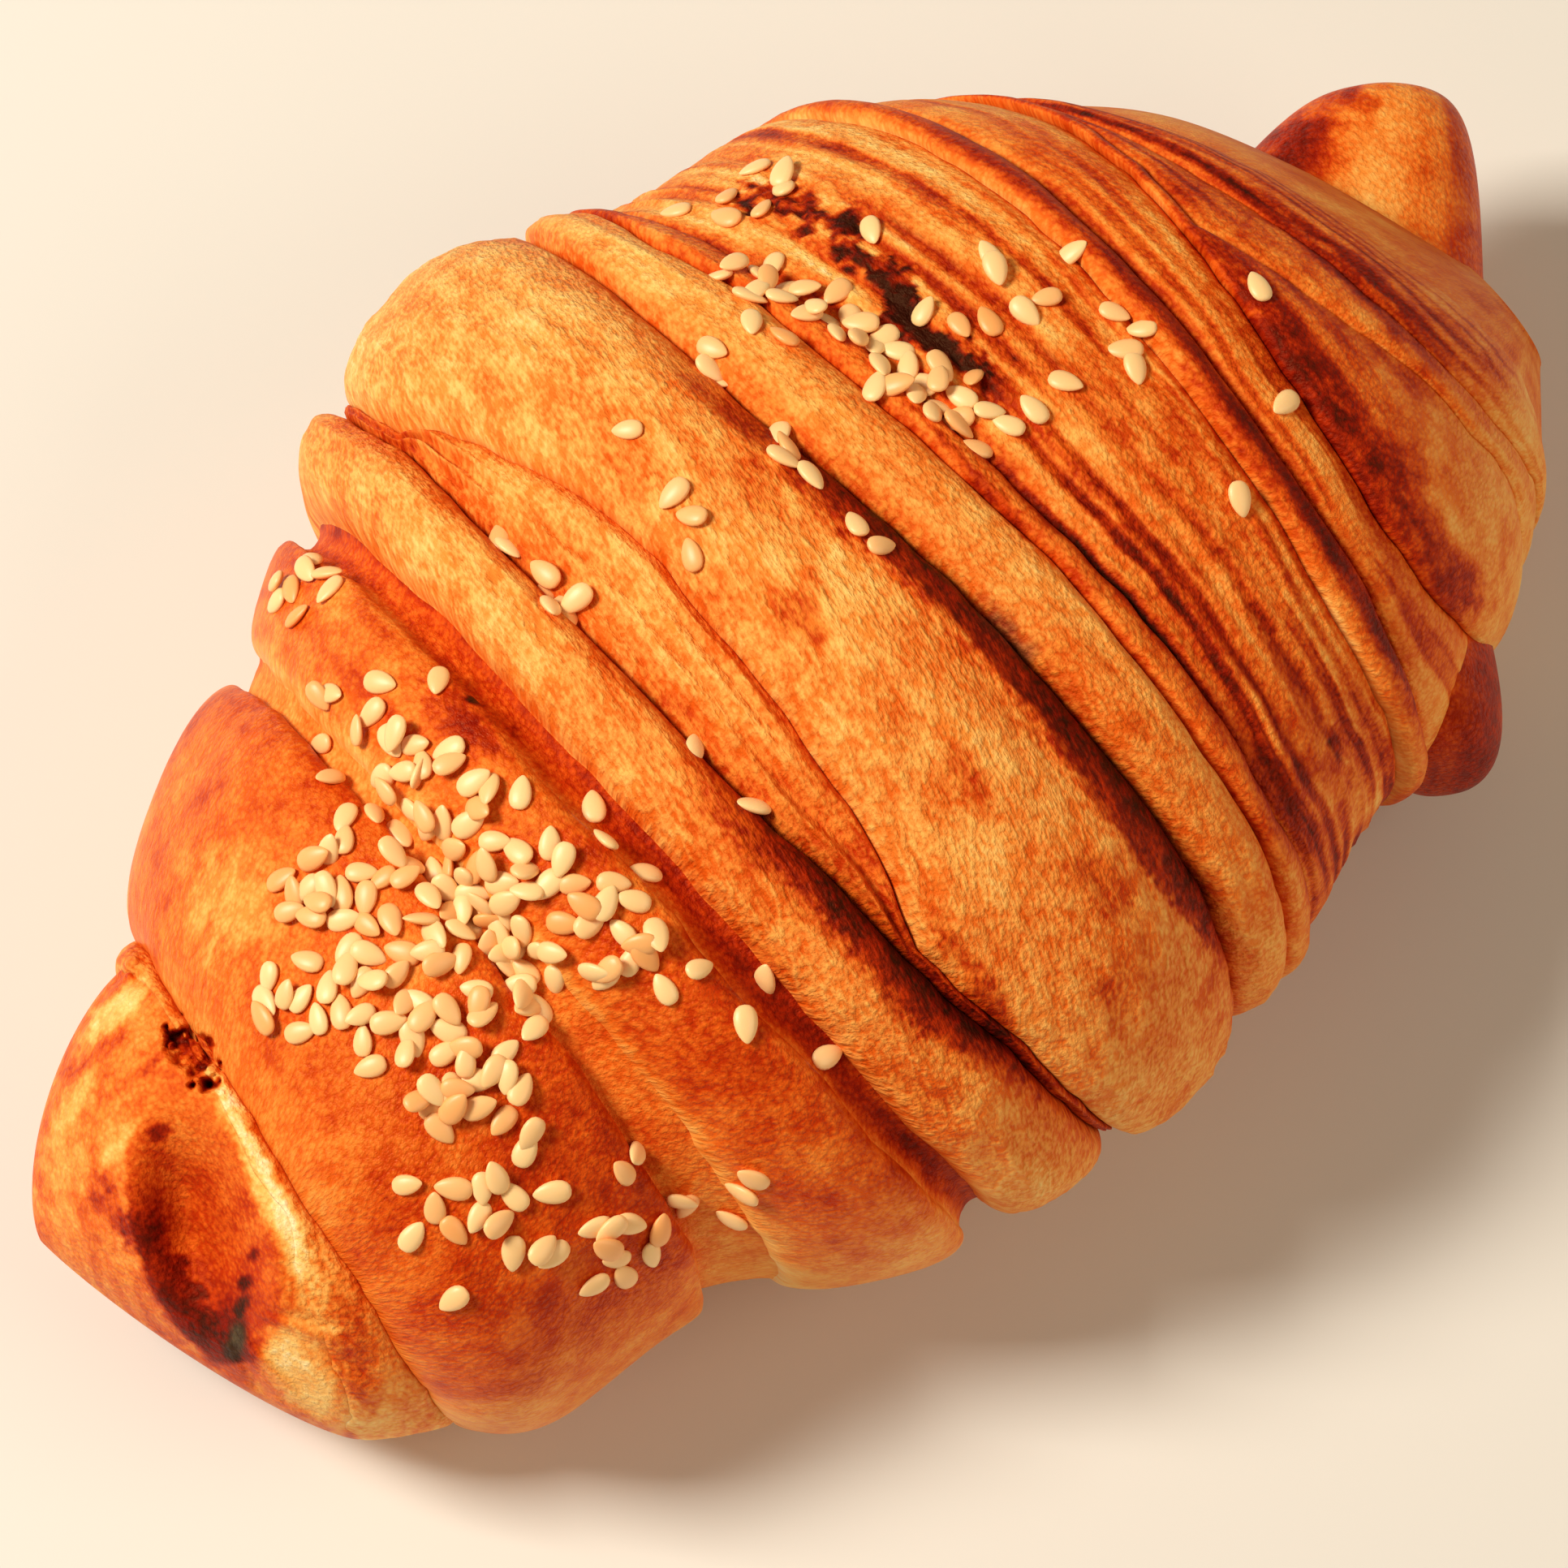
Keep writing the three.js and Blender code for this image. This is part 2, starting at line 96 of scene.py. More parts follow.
# the nub's face, and what is on it, seen square on as in the photo: places are mm to the right of
# and above faceMiddle, turns are from the right towards the top, and depths are in mm
faceMiddle = (-7.8, -9.3, 30)
faceTurn, faceTilt = -40, 68
pocket = dict(place=(-50, -38.3), long=12.6, short=6.4, turn=-76, depth=6.5, bake=0.73, shadowCrescent=0.27,
              rough=0.6)
hole = dict(place=(-51.1, -23.1), long=3.2, short=2.1, turn=-53, depth=2.6, crumbs=0.9, bake=0.9)
flap = dict(place=(-57.6, -15.4), long=2.6, short=1.8, turn=35, depth=-2.2, bake=0.2)
lip = dict(place=(-42, -51.5), inner=5, outer=8, folds=0.5, bake=0.12)
faceSpots = [
    dict(place=(-47.4, -48), long=2.4, short=1.1, turn=75, bake=0.5, ash=0.9),
    dict(place=(-46.9, -45), long=2, short=0.8, turn=60, bake=0.45, ash=0.2),
    dict(place=(-45.8, -40.6), long=1.3, short=0.7, turn=50, bake=0.4, ash=0),
    dict(place=(-46.6, -43.2), long=1.2, short=0.7, turn=60, bake=0.4, ash=0),
    dict(place=(-54, -30), long=1.6, short=1, turn=10, bake=0.4, ash=0),
    dict(place=(-58.6, -36.6), long=3.6, short=1.5, turn=-60, bake=0.35, ash=0),
    dict(place=(-64.8, -35.5), long=3, short=1.2, turn=-60, bake=0.22, ash=0),
    dict(place=(-59, -34), long=2, short=1, turn=-70, bake=0.3, ash=0),
    dict(place=(-63.5, -27), long=7, short=1, turn=64, bake=0.14, ash=0),
    dict(place=(-59.4, -23.4), long=5, short=0.9, turn=42, bake=0.26, ash=0),
    dict(place=(-56, -25.2), long=4.5, short=0.7, turn=38, bake=0.2, ash=0),
    # pale marks: the ridge by the pocket and the streaks on the dome above it are pale dough with painted
    # highlights; the lower lip is pale dough
    dict(place=(-43.7, -36), long=12, short=1.7, turn=-65, bake=-0.55, ash=0),
    dict(place=(-41.4, -52), long=7, short=3.4, turn=-50, bake=-0.44, ash=0),
    dict(place=(-58, -19.6), long=5, short=1.6, turn=38, bake=-0.42, ash=0),
    dict(place=(-61.5, -27.5), long=8, short=1.3, turn=58, bake=-0.2, ash=0),
    dict(place=(-57.5, -31.2), long=6, short=0.9, turn=50, bake=-0.22, ash=0),
]

# spots and scars on the layers, and one painted sheen: x and the angle round the roll, half sizes in mm, what
# they add
layerSpots = [
    dict(x=9.8, angle=110, along=1.6, around=4, bake=0.12, ash=0.6),
    dict(x=-4.7, angle=97, along=2.4, around=3.4, bake=0.25, ash=0),
    dict(x=-1.5, angle=95, along=1, around=2, bake=0.3, ash=0),
    dict(x=29.5, angle=155, along=1.6, around=4, bake=0.35, ash=0),
    dict(x=-31, angle=75, along=3.4, around=8, bake=0.26, ash=0),
    dict(x=-29.2, angle=73, along=1, around=1.4, bake=0.6, ash=0),
    dict(x=2, angle=138, along=3, around=5, bake=0.26, ash=0),
    dict(x=-6, angle=72, along=2.5, around=5, bake=0.14, ash=0),
    dict(x=20.8, angle=64, along=1.5, around=9, bake=-0.34, ash=0),
    # a painted highlight: the sheen on the first layer's upper left
    dict(x=-54.5, angle=62, along=4.5, around=11, bake=-0.24, ash=0),
    dict(x=-2.6, angle=149, along=2.2, around=3, bake=0.24, ash=0),
    dict(x=-11.2, angle=143, along=1.4, around=12, bake=0.34, ash=0),
    dict(x=-30.5, angle=46, along=2, around=5, bake=-0.16, ash=0),
    dict(x=29.4, angle=140, along=1, around=20, bake=0.36, ash=0),
    dict(x=31.9, angle=103, along=0.9, around=10, bake=0.2, ash=0),
    dict(x=31.4, angle=62, along=1, around=8, bake=0.16, ash=0),
    dict(x=47.7, angle=86, along=3, around=6, bake=0.16, ash=0),
    dict(x=31, angle=37, along=1.6, around=6, bake=-0.28, ash=0),
    dict(x=16.7, angle=92, along=0.7, around=12, bake=0.34, ash=0),
    dict(x=47, angle=66, along=1.5, around=12, bake=0.2, ash=0),
    dict(x=-2, angle=120, along=2, around=3, bake=0.16, ash=0),
    dict(x=-46, angle=128, along=8, around=12, bake=0.08, ash=0),
]

# the char line: its x at angles round the roll, half its width in mm, and what it adds to the shade
# and, in mm, to the relief
charLine = dict(angles=(33, 55, 74, 90), x=(22.3, 24.8, 22.6, 24.3), along=2.9, bake=0.85, specks=0.3,
                crust=0.25)

# arcs of shade over the right end: at is the share of the way from the cap's line to the rim,
# between two angles, with half its width as a share, and what it adds
capArcs = [
    dict(at=0.06, width=0.17, start=84, stop=168, bake=0.5),
    dict(at=0.3, width=0.03, start=30, stop=125, bake=0.16),
    dict(at=0.42, width=0.025, start=60, stop=140, bake=0.1),
    dict(at=0.6, width=0.085, start=20, stop=118, bake=0.38),
    dict(at=0.71, width=0.06, start=74, stop=130, bake=0.4),
    dict(at=0.82, width=0.018, start=10, stop=125, bake=0.34),
    dict(at=0.88, width=0.014, start=10, stop=135, bake=0.3),
    dict(at=0.94, width=0.014, start=10, stop=140, bake=0.26),
]
capSideLightAndShade = dict(far=0.14, near=-0.22)  # what the right end's far and near sides add to its shade: painted shade and painted light

# how each layer is baked: bake is its shade, from 0 pale dough to 1 dark brown; left and right are
# what its edges add, over so many mm, darker edges being painted shade in the creases and paler ones
# pale dough with a painted highlight on a lit ridge; flank is painted shade on its right side, which
# faces away from the light, over so many mm, between two angles; far, near and low are what its far
# side, near side and both feet add, the paler far side and darker near side standing partly for how
# the light falls, as painted light and shade; fibre, wrinkle and lump are its relief in mm; shear
# turns its fibres; strands are long streaks of shade, mottle patches
plainLook = dict(bake=0.4, left=0, leftWidth=2, right=0, rightWidth=2, paintedFlankShade=0, flankWidth=4, flankFrom=60,
                 flankTo=170, far=0, near=0.06, low=-0.12, fibre=0.1, wrinkle=0, lump=0.3, shear=0, strands=0,
                 strandWidth=1.3, mottle=0.08, rough=0.55)
layerLooks = dict(
    end=dict(bake=0.46, mottle=0.1),
    nub=dict(bake=0.5, mottle=0.14, rough=0.5),
    strip=dict(bake=0.47, left=-0.1, leftWidth=0.8, fibre=0.1, wrinkle=0.12, lump=0.1, strands=0.06,
               low=-0.2),
    first=dict(bake=0.57, left=-0.14, leftWidth=2, right=0.05, rightWidth=5, near=0.12, low=-0.3,
               fibre=0.02, lump=0.5, mottle=0.1, rough=0.36),
    groove=dict(bake=0.42, left=0.05, fibre=0.05, mottle=0.1, near=0.08),
    second=dict(bake=0.58, left=-0.34, leftWidth=0.9, right=0.04, near=0.06, low=-0.3, fibre=0.05,
                lump=0.3, strands=0.05, mottle=0.1, rough=0.4),
    # the thread lies in a valley: its dark bake is partly painted shade, and its pale left edge partly a
    # painted highlight on the thin ridge beside it
    thread=dict(bake=0.72, left=-0.4, leftWidth=0.7, fibre=0.06, strands=0.1, near=0.15),
    rope=dict(bake=0.33, right=0.4, rightWidth=1.4, left=0.08, paintedFlankShade=0.58, flankWidth=4.4, flankFrom=88,
              flankTo=158, far=-0.06, near=0.1, fibre=0.17, wrinkle=0.3, shear=0.12),
    fold=dict(bake=0.36, far=-0.12, right=0.3, rightWidth=1.2, left=0.35, leftWidth=1.6, near=0.12,
              fibre=0.16, wrinkle=0.8),
    top=dict(bake=0.36, far=-0.1, right=0.36, rightWidth=1.6, paintedFlankShade=0.56, flankWidth=4.6, flankFrom=58,
             near=0.08, fibre=0.17, wrinkle=0.2, shear=0.22, lump=0.5, mottle=0.11),
    sixth=dict(bake=0.32, far=-0.12, left=0.34, leftWidth=1.3, near=0.1, fibre=0.12, wrinkle=0.2, shear=0.08,
               strands=0.06),
    ridge=dict(bake=0.36, left=0.3, leftWidth=0.8, right=0.55, rightWidth=0.9, fibre=0.1, wrinkle=0.2),
    trough=dict(bake=0.58, far=-0.18, left=0.35, leftWidth=1.6, right=0.1, rightWidth=2, near=0.12, fibre=0.1,
                wrinkle=0.25, strands=0.3, strandWidth=1.15, mottle=0.12),
    washed=dict(bake=0.66, left=-0.4, leftWidth=0.7, paintedFlankShade=0.24, flankWidth=2.8, flankFrom=30, near=0.05,
                fibre=0.06, strands=0.12),
    collar=dict(bake=0.43, left=0.1, right=0.16, rightWidth=0.8, fibre=0.06, strands=0.18, strandWidth=0.9,
                lump=0.2),
    cap=dict(bake=0.58, left=-0.1, leftWidth=0.7, near=0, fibre=0.06, strands=0.07, strandWidth=0.8,
             mottle=0.12, lump=0.3),
    bulge=dict(bake=0.52, near=0, fibre=0.06, strands=0.08, strandWidth=0.8, mottle=0.12),
    streak=dict(bake=0.52, near=0, fibre=0.06, strands=0.1, strandWidth=0.8),
)
layerLooks = {name: {**plainLook, **look} for name, look in layerLooks.items()}

# shades of baked dough by bake, as sRGB from 0 to 255
bakeSteps = (-0.2, 0, 0.2, 0.4, 0.6, 0.8, 1, 1.3)
bakeShades = np.array([
    (255, 232, 180),
    (255, 208, 124),
    (252, 180, 90),
    (244, 140, 52),
    (228, 95, 19),
    (190, 48, 3),
    (138, 14, 1),
    (48, 9, 3),
], float)


def mix(a, b, share):
    return a + (b - a) * share


def smooth(low, high, value):
    # 0 below low, 1 above high, and an S curve between them
    share = np.clip((value - low) / (high - low), 0, 1)
    return share * share * (3 - 2 * share)


def linear(shade):
    # from sRGB, 0 to 255, to scene values
    shade = np.asarray(shade, float) / 255
    return np.where(shade < 0.04, shade / 12.9, ((shade + 0.055) / 1.055) ** 2.4)


def bakeColour(bake):
    # the shades at the bake steps, joined by straight lines in scene values
    steps = linear(bakeShades)
    return np.stack([np.interp(bake, bakeSteps, steps[:, i]) for i in range(3)], -1)


noiseSide = 256
noiseTables = {}


def noise(across, around, seed):
    # from -1 to 1: random values at whole numbers, joined by S curves
    if seed not in noiseTables:
        noiseTables[seed] = np.random.default_rng(seed).random((noiseSide, noiseSide)) * 2 - 1
    table = noiseTables[seed]
    i, j = np.floor(across).astype(int), np.floor(around).astype(int)
    u, v = across - i, around - j
    u, v = u * u * (3 - 2 * u), v * v * (3 - 2 * v)
    low = mix(table[i % noiseSide, j % noiseSide], table[(i + 1) % noiseSide, j % noiseSide], u)
    j = j + 1
    high = mix(table[i % noiseSide, j % noiseSide], table[(i + 1) % noiseSide, j % noiseSide], u)
    return mix(low, high, v)


def stationAt(x):
    # a cubic through each column of stations, whose slope at a station is that between its neighbours
    places, values = rollStations[:, 0], rollStations[:, 1:]
    slopes = np.empty_like(values)
    slopes[1:-1] = (values[2:] - values[:-2]) / (places[2:] - places[:-2])[:, None]
    slopes[0] = (values[1] - values[0]) / (places[1] - places[0])
    slopes[-1] = (values[-1] - values[-2]) / (places[-1] - places[-2])
    x = np.clip(x, places[0], places[-1])
    i = np.clip(np.searchsorted(places, x, side="right") - 1, 0, len(places) - 2)
    span = places[i + 1] - places[i]
    t = ((x - places[i]) / span)[..., None]
    span = span[..., None]
    start = values[i] * (1 + 2 * t) * (1 - t) ** 2 + slopes[i] * span * t * (1 - t) ** 2
    end = values[i + 1] * t * t * (3 - 2 * t) - slopes[i + 1] * span * t * t * (1 - t)
    return np.moveaxis(start + end, -1, 0)


def rollPoint(x, angle, offset):
    # an ellipse round the middle at x, grown by offset, with its lower part cut flat
    halfWidth, top, under, side = stationAt(x)
    middle = under + widestPart * (top - under)
    reach = np.where(np.sin(angle) > 0, top - middle, (middle - under) / underBulge)
    y = side + (halfWidth + offset) * np.cos(angle)
    z = middle + (reach + offset) * np.sin(angle)
    return np.stack([x, y, np.maximum(np.maximum(z, under), 0)], -1)


girthRadius = 42  # mm, of the roll's middle


def girthAt(angle):
    # mm round the roll, from the middle of the underside
    return ((angle + np.pi / 2) % fullTurn) * girthRadius


lineWaver = [(0.5, 11, 900), (0.18, 3, 930)]  # how far a line wavers, over what length, in mm, and a seed


def linesAt(angle):
    # each line's x at the angles, a little wavy, and kept clear of the line on its left
    places = []
    girth = girthAt(angle)
    for number, line in enumerate(layerLines):
        x = (line["at"] + line["tilt"] * np.cos(angle) + line["bow"] * np.sin(angle)
             + line["twist"] * np.sin(2 * angle))
        for sway, length, seed in lineWaver:
            x = x + sway * noise(number * 1.7 + 0 * girth, girth / length, seed + number)
        places.append(np.maximum(x, places[-1] + leastWidth) if places else x)
    return np.array(places)


def viewAxes(azimuth, elevation):
    # right, up and back of a view: azimuth -90 looks from -X, and 180 from +Y
    turn, tilt = np.radians([azimuth, elevation])
    right = np.array([np.cos(turn), np.sin(turn), 0])
    back = np.array([np.sin(turn) * np.cos(tilt), -np.cos(turn) * np.cos(tilt), np.sin(tilt)])
    return right, np.cross(back, right), back


faceAxes = viewAxes(faceTurn, faceTilt)


def facePlace(points):
    # mm to the right of faceMiddle and above it
    right, up = faceAxes[:2]
    away = points - np.array(faceMiddle)
    return away @ right, away @ up


def onFace(points, mark):
    # long and short shares of an oval mark on the nub's face: 1 at its edge
    a, b = facePlace(points)
    sideways, upwards = a - mark["place"][0], b - mark["place"][1]
    turn = np.radians(mark["turn"])
    return ((sideways * np.cos(turn) + upwards * np.sin(turn)) / mark["long"],
            (upwards * np.cos(turn) - sideways * np.sin(turn)) / mark["short"])


def faceDetail(points, angle, bake, rough, ash, nubShare):
    # the pocket and its marks, the hole with its crusty filling and the torn flap; nubShare is 1 on
    # the nub, and 0 on the layer beside it, which has the hole and the flap alone
    a, b = facePlace(points)
    ragged = 0.16 * noise(a / 1.3, b / 1.3, 61) + 0.12 * noise(a / 0.5, b / 0.5, 62)
    long, short = onFace(points, pocket)
    reach = np.hypot(long, short)
    depth = nubShare * pocket["depth"] * (1 - smooth(0.15, 1.04, reach)) * (1 - 0.3 * short)
    # short grows to the right of the pocket, and long towards its lower end
    bearing = np.arctan2(long, short)
    drift = reach + 0.12 * noise(a / 4, b / 4, 67)
    swirl = 0.5 * noise(drift * 5, bearing * 1.3, 63) + 0.4 * noise(drift * 15, bearing * 4, 68)
    specks = 0.6 * noise(a / 0.9, b / 0.9, 70) + 0.4 * noise(a / 0.4, b / 0.4, 76)
    inside = 1 - smooth(0.96, 1.04, reach + 0.25 * ragged)
    # the bowl is paler towards its right wall, a painted highlight where that wall faces the light, paler
    # towards its upper end and darker towards its lower end
    bowl = pocket["bake"] - 0.08 * short + 0.1 * smooth(0.2, 0.9, long) - 0.14 * smooth(0.1, 0.9, -long)
    outside = bake + (0.22 * swirl + 0.12 * specks) * smooth(0.85, 1.15, reach)
    face = mix(outside, bowl + 0.08 * noise(a / 2, b / 2, 64) + 0.06 * specks, inside)
    # a dark crescent along the pocket's left and lower wall, which faces away from the light: painted shadow
    shadowCrescent = (smooth(0.42, 0.72, reach + ragged) * (1 - smooth(1, 1.22, reach + 0.9 * ragged))
                * smooth(0.1, -0.5, short - 0.35 * long)
                * smooth(-0.5, 0, long) * (1 - smooth(0.95, 1.1, long)))
    face = face + pocket["shadowCrescent"] * shadowCrescent * (1 + 1.6 * ragged)
    rough = mix(rough, pocket["rough"], inside * nubShare)
    for spot in faceSpots:
        long, short = onFace(points, spot)
        share = 1 - smooth(0.3, 1.1, np.hypot(long, short) + 1.4 * ragged)
        face = face + spot["bake"] * share
        ash = np.maximum(ash, spot["ash"] * share * nubShare * (0.7 + 2 * ragged))
    folds = noise(np.arctan2(b + 44, a + 50) * 9, np.hypot(b + 44, a + 50) / 9, 69)
    onLip = 1 - smooth(lip["inner"], lip["outer"], np.hypot(a - lip["place"][0], b - lip["place"][1]))
    face = face + lip["bake"] * folds * onLip
    depth = depth - lip["folds"] * folds * onLip * nubShare
    bake = mix(bake, face, nubShare)
    crumbs = 0.7 * noise(a / 0.7, b / 0.7, 65) + 0.3 * noise(a / 0.3, b / 0.3, 77)
    long, short = onFace(points, hole)
    within = 1 - smooth(0.6, 1.05, np.hypot(long, short) + 1.6 * ragged)
    depth = depth + within * (hole["depth"] + hole["crumbs"] * crumbs)
    bake = mix(bake, hole["bake"] + 0.5 * crumbs, smooth(0.1, 0.7, within))
    long, short = onFace(points, flap)
    raised = 1 - smooth(0.2, 1, np.hypot(long, short) + 0.6 * ragged)
    depth = depth + flap["depth"] * raised
    bake = bake + flap["bake"] * raised * (0.4 + crumbs)
    depth = depth * smooth(-0.4, 0, np.sin(angle))
    return points - depth[..., None] * faceAxes[2], bake, rough, ash


def layerDetail(x, angle, bake, ash):
    # the char line and the spots, with ragged edges, and how far they stand out in mm
    girth = girthAt(angle)
    ragged = 0.5 * noise(x / 1.6, girth / 2.2, 71) + 0.35 * noise(x / 0.6, girth / 0.7, 72)
    for spot in layerSpots:
        around = (girth - girthAt(np.radians(spot["angle"]))) / spot["around"]
        share = 1 - smooth(0.2, 1.1, np.hypot((x - spot["x"]) / spot["along"], around) + 0.7 * ragged)
        bake = bake + spot["bake"] * share
        ash = np.maximum(ash, spot["ash"] * share)
    degrees = np.degrees(angle)
    start, stop = charLine["angles"][0], charLine["angles"][-1]
    ends = smooth(start, start + 6, degrees) * (1 - smooth(stop - 8, stop + 2, degrees))
    thin = 0.25 - 0.5 * noise(x / 3 + 5, girth / 3.4, 73)
    beside = np.abs(x - np.interp(degrees, charLine["angles"], charLine["x"])) / charLine["along"]
    beside = beside + 0.9 * ragged + 0.8 * thin
    share = ends * (1 - smooth(0.45, 0.95, beside))
    bake = bake + charLine["bake"] * share + charLine["specks"] * share * noise(x / 0.5, girth / 0.5, 74)
    return bake, ash, charLine["crust"] * share * noise(x / 0.7, girth / 0.7, 75)


def capShade(x, angle):
    # what the arcs over the right end add to its shade, with painted shade on its far side and painted light
    # on its near side
    places = linesAt(angle)
    first = places[lineNumber["cap"]]
    girth = girthAt(angle)
    share = (x - first) / (places[-1] - first) + 0.03 * noise(x / 3, girth / 9, 81)
    fray = 0.5 * noise(x / 1.2, girth / 2.5, 82) + 0.5 * noise(x / 0.5, girth / 3, 83)
    degrees = np.degrees(angle)
    # painted shade on the far side, painted light on the near side
    shade = capSideLightAndShade["far"] * (1 - smooth(60, 110, degrees)) + capSideLightAndShade["near"] * smooth(125, 145, degrees)
    for arc in capArcs:
        ends = smooth(arc["start"], arc["start"] + 12, degrees + 8 * fray)
        ends = ends * (1 - smooth(arc["stop"] - 14, arc["stop"], degrees + 8 * fray))
        beside = np.abs(share - arc["at"]) / arc["width"]
        shade = shade + arc["bake"] * ends * (1 - smooth(0.3, 1.2, beside + 0.5 * fray)) * (1 + 0.5 * fray)
    return shade


def reliefAt(angle):
    # all of the relief on top, falling with the sine of the angle to its share on the underside
    return mix(1, underRelief, np.maximum(0, -np.sin(angle)))


def fibres(x, girth, seed):
    # short crinkles along the roll's girth, from -1 to 1
    bent = x + 0.3 * noise(x / 2, girth / 4, seed + 12)
    return (0.3 * noise(bent / 0.4, girth / 1.5, seed) + 0.4 * noise(bent / 0.8, girth / 4, seed + 1)
            + 0.3 * noise(bent / 1.6, girth / 7, seed + 13))


def layerSkin(index, t, angle):
    # points, bake, roughness, fibre and ash of a layer at share t of the way across it: a
    # superellipse swelling between its two lines, with its look's relief
    layer, following = layerLines[index], layerLines[index + 1]
    look = layerLooks[layer["name"]]
    places = linesAt(angle)
    left, right = places[index], places[index + 1]
    turn = np.pi * t
    across = (1 - np.sign(np.cos(turn)) * np.abs(np.cos(turn)) ** (2 / layer["full"])) / 2
    x = mix(left, right, across ** (1 / layer["lean"]))
    swell = layer["rise"] * np.abs(np.sin(turn)) ** (2 / layer["full"])
    swell = swell * smooth(0, 4, right - left + 1.5)
    girth = girthAt(angle)
    seed = 20 * index + 100
    crinkle = fibres(x + look["shear"] * girth, girth, seed)
    usualWidth = max(3, following["at"] + following["bow"] - layer["at"] - layer["bow"])
    lanes = (x - left) / np.maximum(right - left, 0.1) * usualWidth + 0.5 * noise(x / 6, girth / 9, seed + 8)
    wrinkle = 1 - 2 * np.abs(noise(lanes / 2.1, girth / 17, seed + 2))
    lump = noise(x / 8, girth / 13, seed + 3)
    inner = smooth(0, 1.2, x - left) * smooth(0, 1.2, right - x)
    relief = inner * (look["fibre"] * crinkle + look["wrinkle"] * wrinkle + look["lump"] * lump)
    streak = noise(lanes / look["strandWidth"], girth / 30, seed + 4)
    fine = noise(lanes / look["strandWidth"] * 2.6, girth / 14, seed + 7)
    streak = smooth(-0.05, 0.5, streak) - 0.6 * smooth(0, 0.5, -streak) + 0.5 * fine
    relief = relief - 0.5 * look["strands"] * np.maximum(streak, 0) * inner
    patches = noise(x / 5 + 0.3 * noise(x / 2, girth / 3, seed + 9), girth / 8, seed + 5)
    bake = look["bake"] + look["mottle"] * (patches + 0.7 * noise(x / 1.6, girth / 3, seed + 6)
                                            + 0.5 * noise(x / 0.7, girth / 0.9, seed + 14))
    # the edges: darker ones are painted shade in the creases, paler ones pale dough with a painted highlight
    # on a lit ridge
    bake = bake + look["left"] * np.exp(-(x - left) / look["leftWidth"])
    bake = bake + look["right"] * np.exp(-(right - x) / look["rightWidth"])
    degrees = np.degrees(angle)
    # painted shade on the right flank, which faces away from the light, between two angles
    flankWidth = look["flankWidth"] * (1 - 0.45 * smooth(135, 160, degrees))
    shaded = smooth(look["flankFrom"], look["flankFrom"] + 35, degrees)
    shaded = shaded * (1 - smooth(look["flankTo"] - 20, look["flankTo"], degrees))
    edge = right - x + 0.7 * noise(x / 1.4, girth / 5, seed + 10)
    edge = edge + 0.7 * noise(x / 0.4, girth / 0.6, seed + 11)
    bake = bake + look["paintedFlankShade"] * shaded * (1 - smooth(0.6, 1.15, edge / flankWidth))
    # the far side paler and the near side darker, partly painted light and painted shade; both feet paler, as
    # dough that browned less
    bake = bake + look["near"] * smooth(85, 130, degrees) + look["low"] * smooth(155, 178, degrees)
    bake = bake + look["low"] * (1 - smooth(-5, 22, degrees))
    bake = bake + look["far"] * (1 - smooth(45, 85, degrees))
    bake = bake + look["strands"] * streak - 0.7 * look["fibre"] * crinkle - 0.12 * look["wrinkle"] * wrinkle
    if layer["name"] in ("cap", "bulge", "streak"):
        bake = bake + capShade(x, angle)
    bake, ash, crusty = layerDetail(x, angle, bake, 0 * bake)
    offset = reliefAt(angle) * (swell - mix(layer["dip"], following["dip"], across) + relief + crusty)
    points, rough = rollPoint(x, angle, offset), look["rough"] + 0 * bake
    if layer["name"] in ("strip", "first"):
        nubShare = 1.0 if layer["name"] == "strip" else 0.0
        points, bake, rough, ash = faceDetail(points, angle, bake, rough, ash, nubShare)
    return points, bake, rough, smooth(0.02, 0.18, look["fibre"]) + 0 * bake, ash


def nubSkin(t, angle):
    # the strip's line shrinks to the tip along a superellipse
    look = layerLooks["nub"]
    foot = rollPoint(linesAt(angle)[0], angle, -layerLines[0]["dip"] * reliefAt(angle))
    bluntness = nub["round"] + nub["roundFar"] * np.cos(angle) + nub["roundTop"] * np.sin(angle)
    turn = t * np.pi / 2
    shrink = np.cos(turn) ** (2 / bluntness)
    forward = np.sin(turn) ** (2 / bluntness)
    tip = np.array(nub["tip"], float)
    point = np.stack([
        mix(foot[..., 0], tip[0], forward),
        mix(tip[1], foot[..., 1], shrink),
        mix(tip[2], foot[..., 2], shrink),
    ], -1)
    a, b = facePlace(point)
    bake = look["bake"] + look["mottle"] * noise(a / 4, b / 4, 66)
    point, bake, rough, ash = faceDetail(point, angle, bake, look["rough"] + 0 * bake, 0 * bake, 1.0)
    return point, bake, rough, 0 * bake, ash


def endSkin(t, angle):
    # from the rim to the end of the roll
    look = layerLooks["end"]
    rim = layerLines[-1]
    x = mix(linesAt(angle)[-1], rollStations[-1, 0], np.sin(t * np.pi / 2))
    point = rollPoint(x, angle, -rim["dip"] * reliefAt(angle) * (1 - t))
    bake = look["bake"] + look["mottle"] * noise(x / 4, girthAt(angle) / 6, 31)
    bake = bake + 0.1 * noise(t * 9, girthAt(angle) / 16, 32)
    return point, bake, look["rough"] + 0 * bake, 0 * bake, 0 * bake


def toFrame(points):
    return (points - boxMiddle) * mm


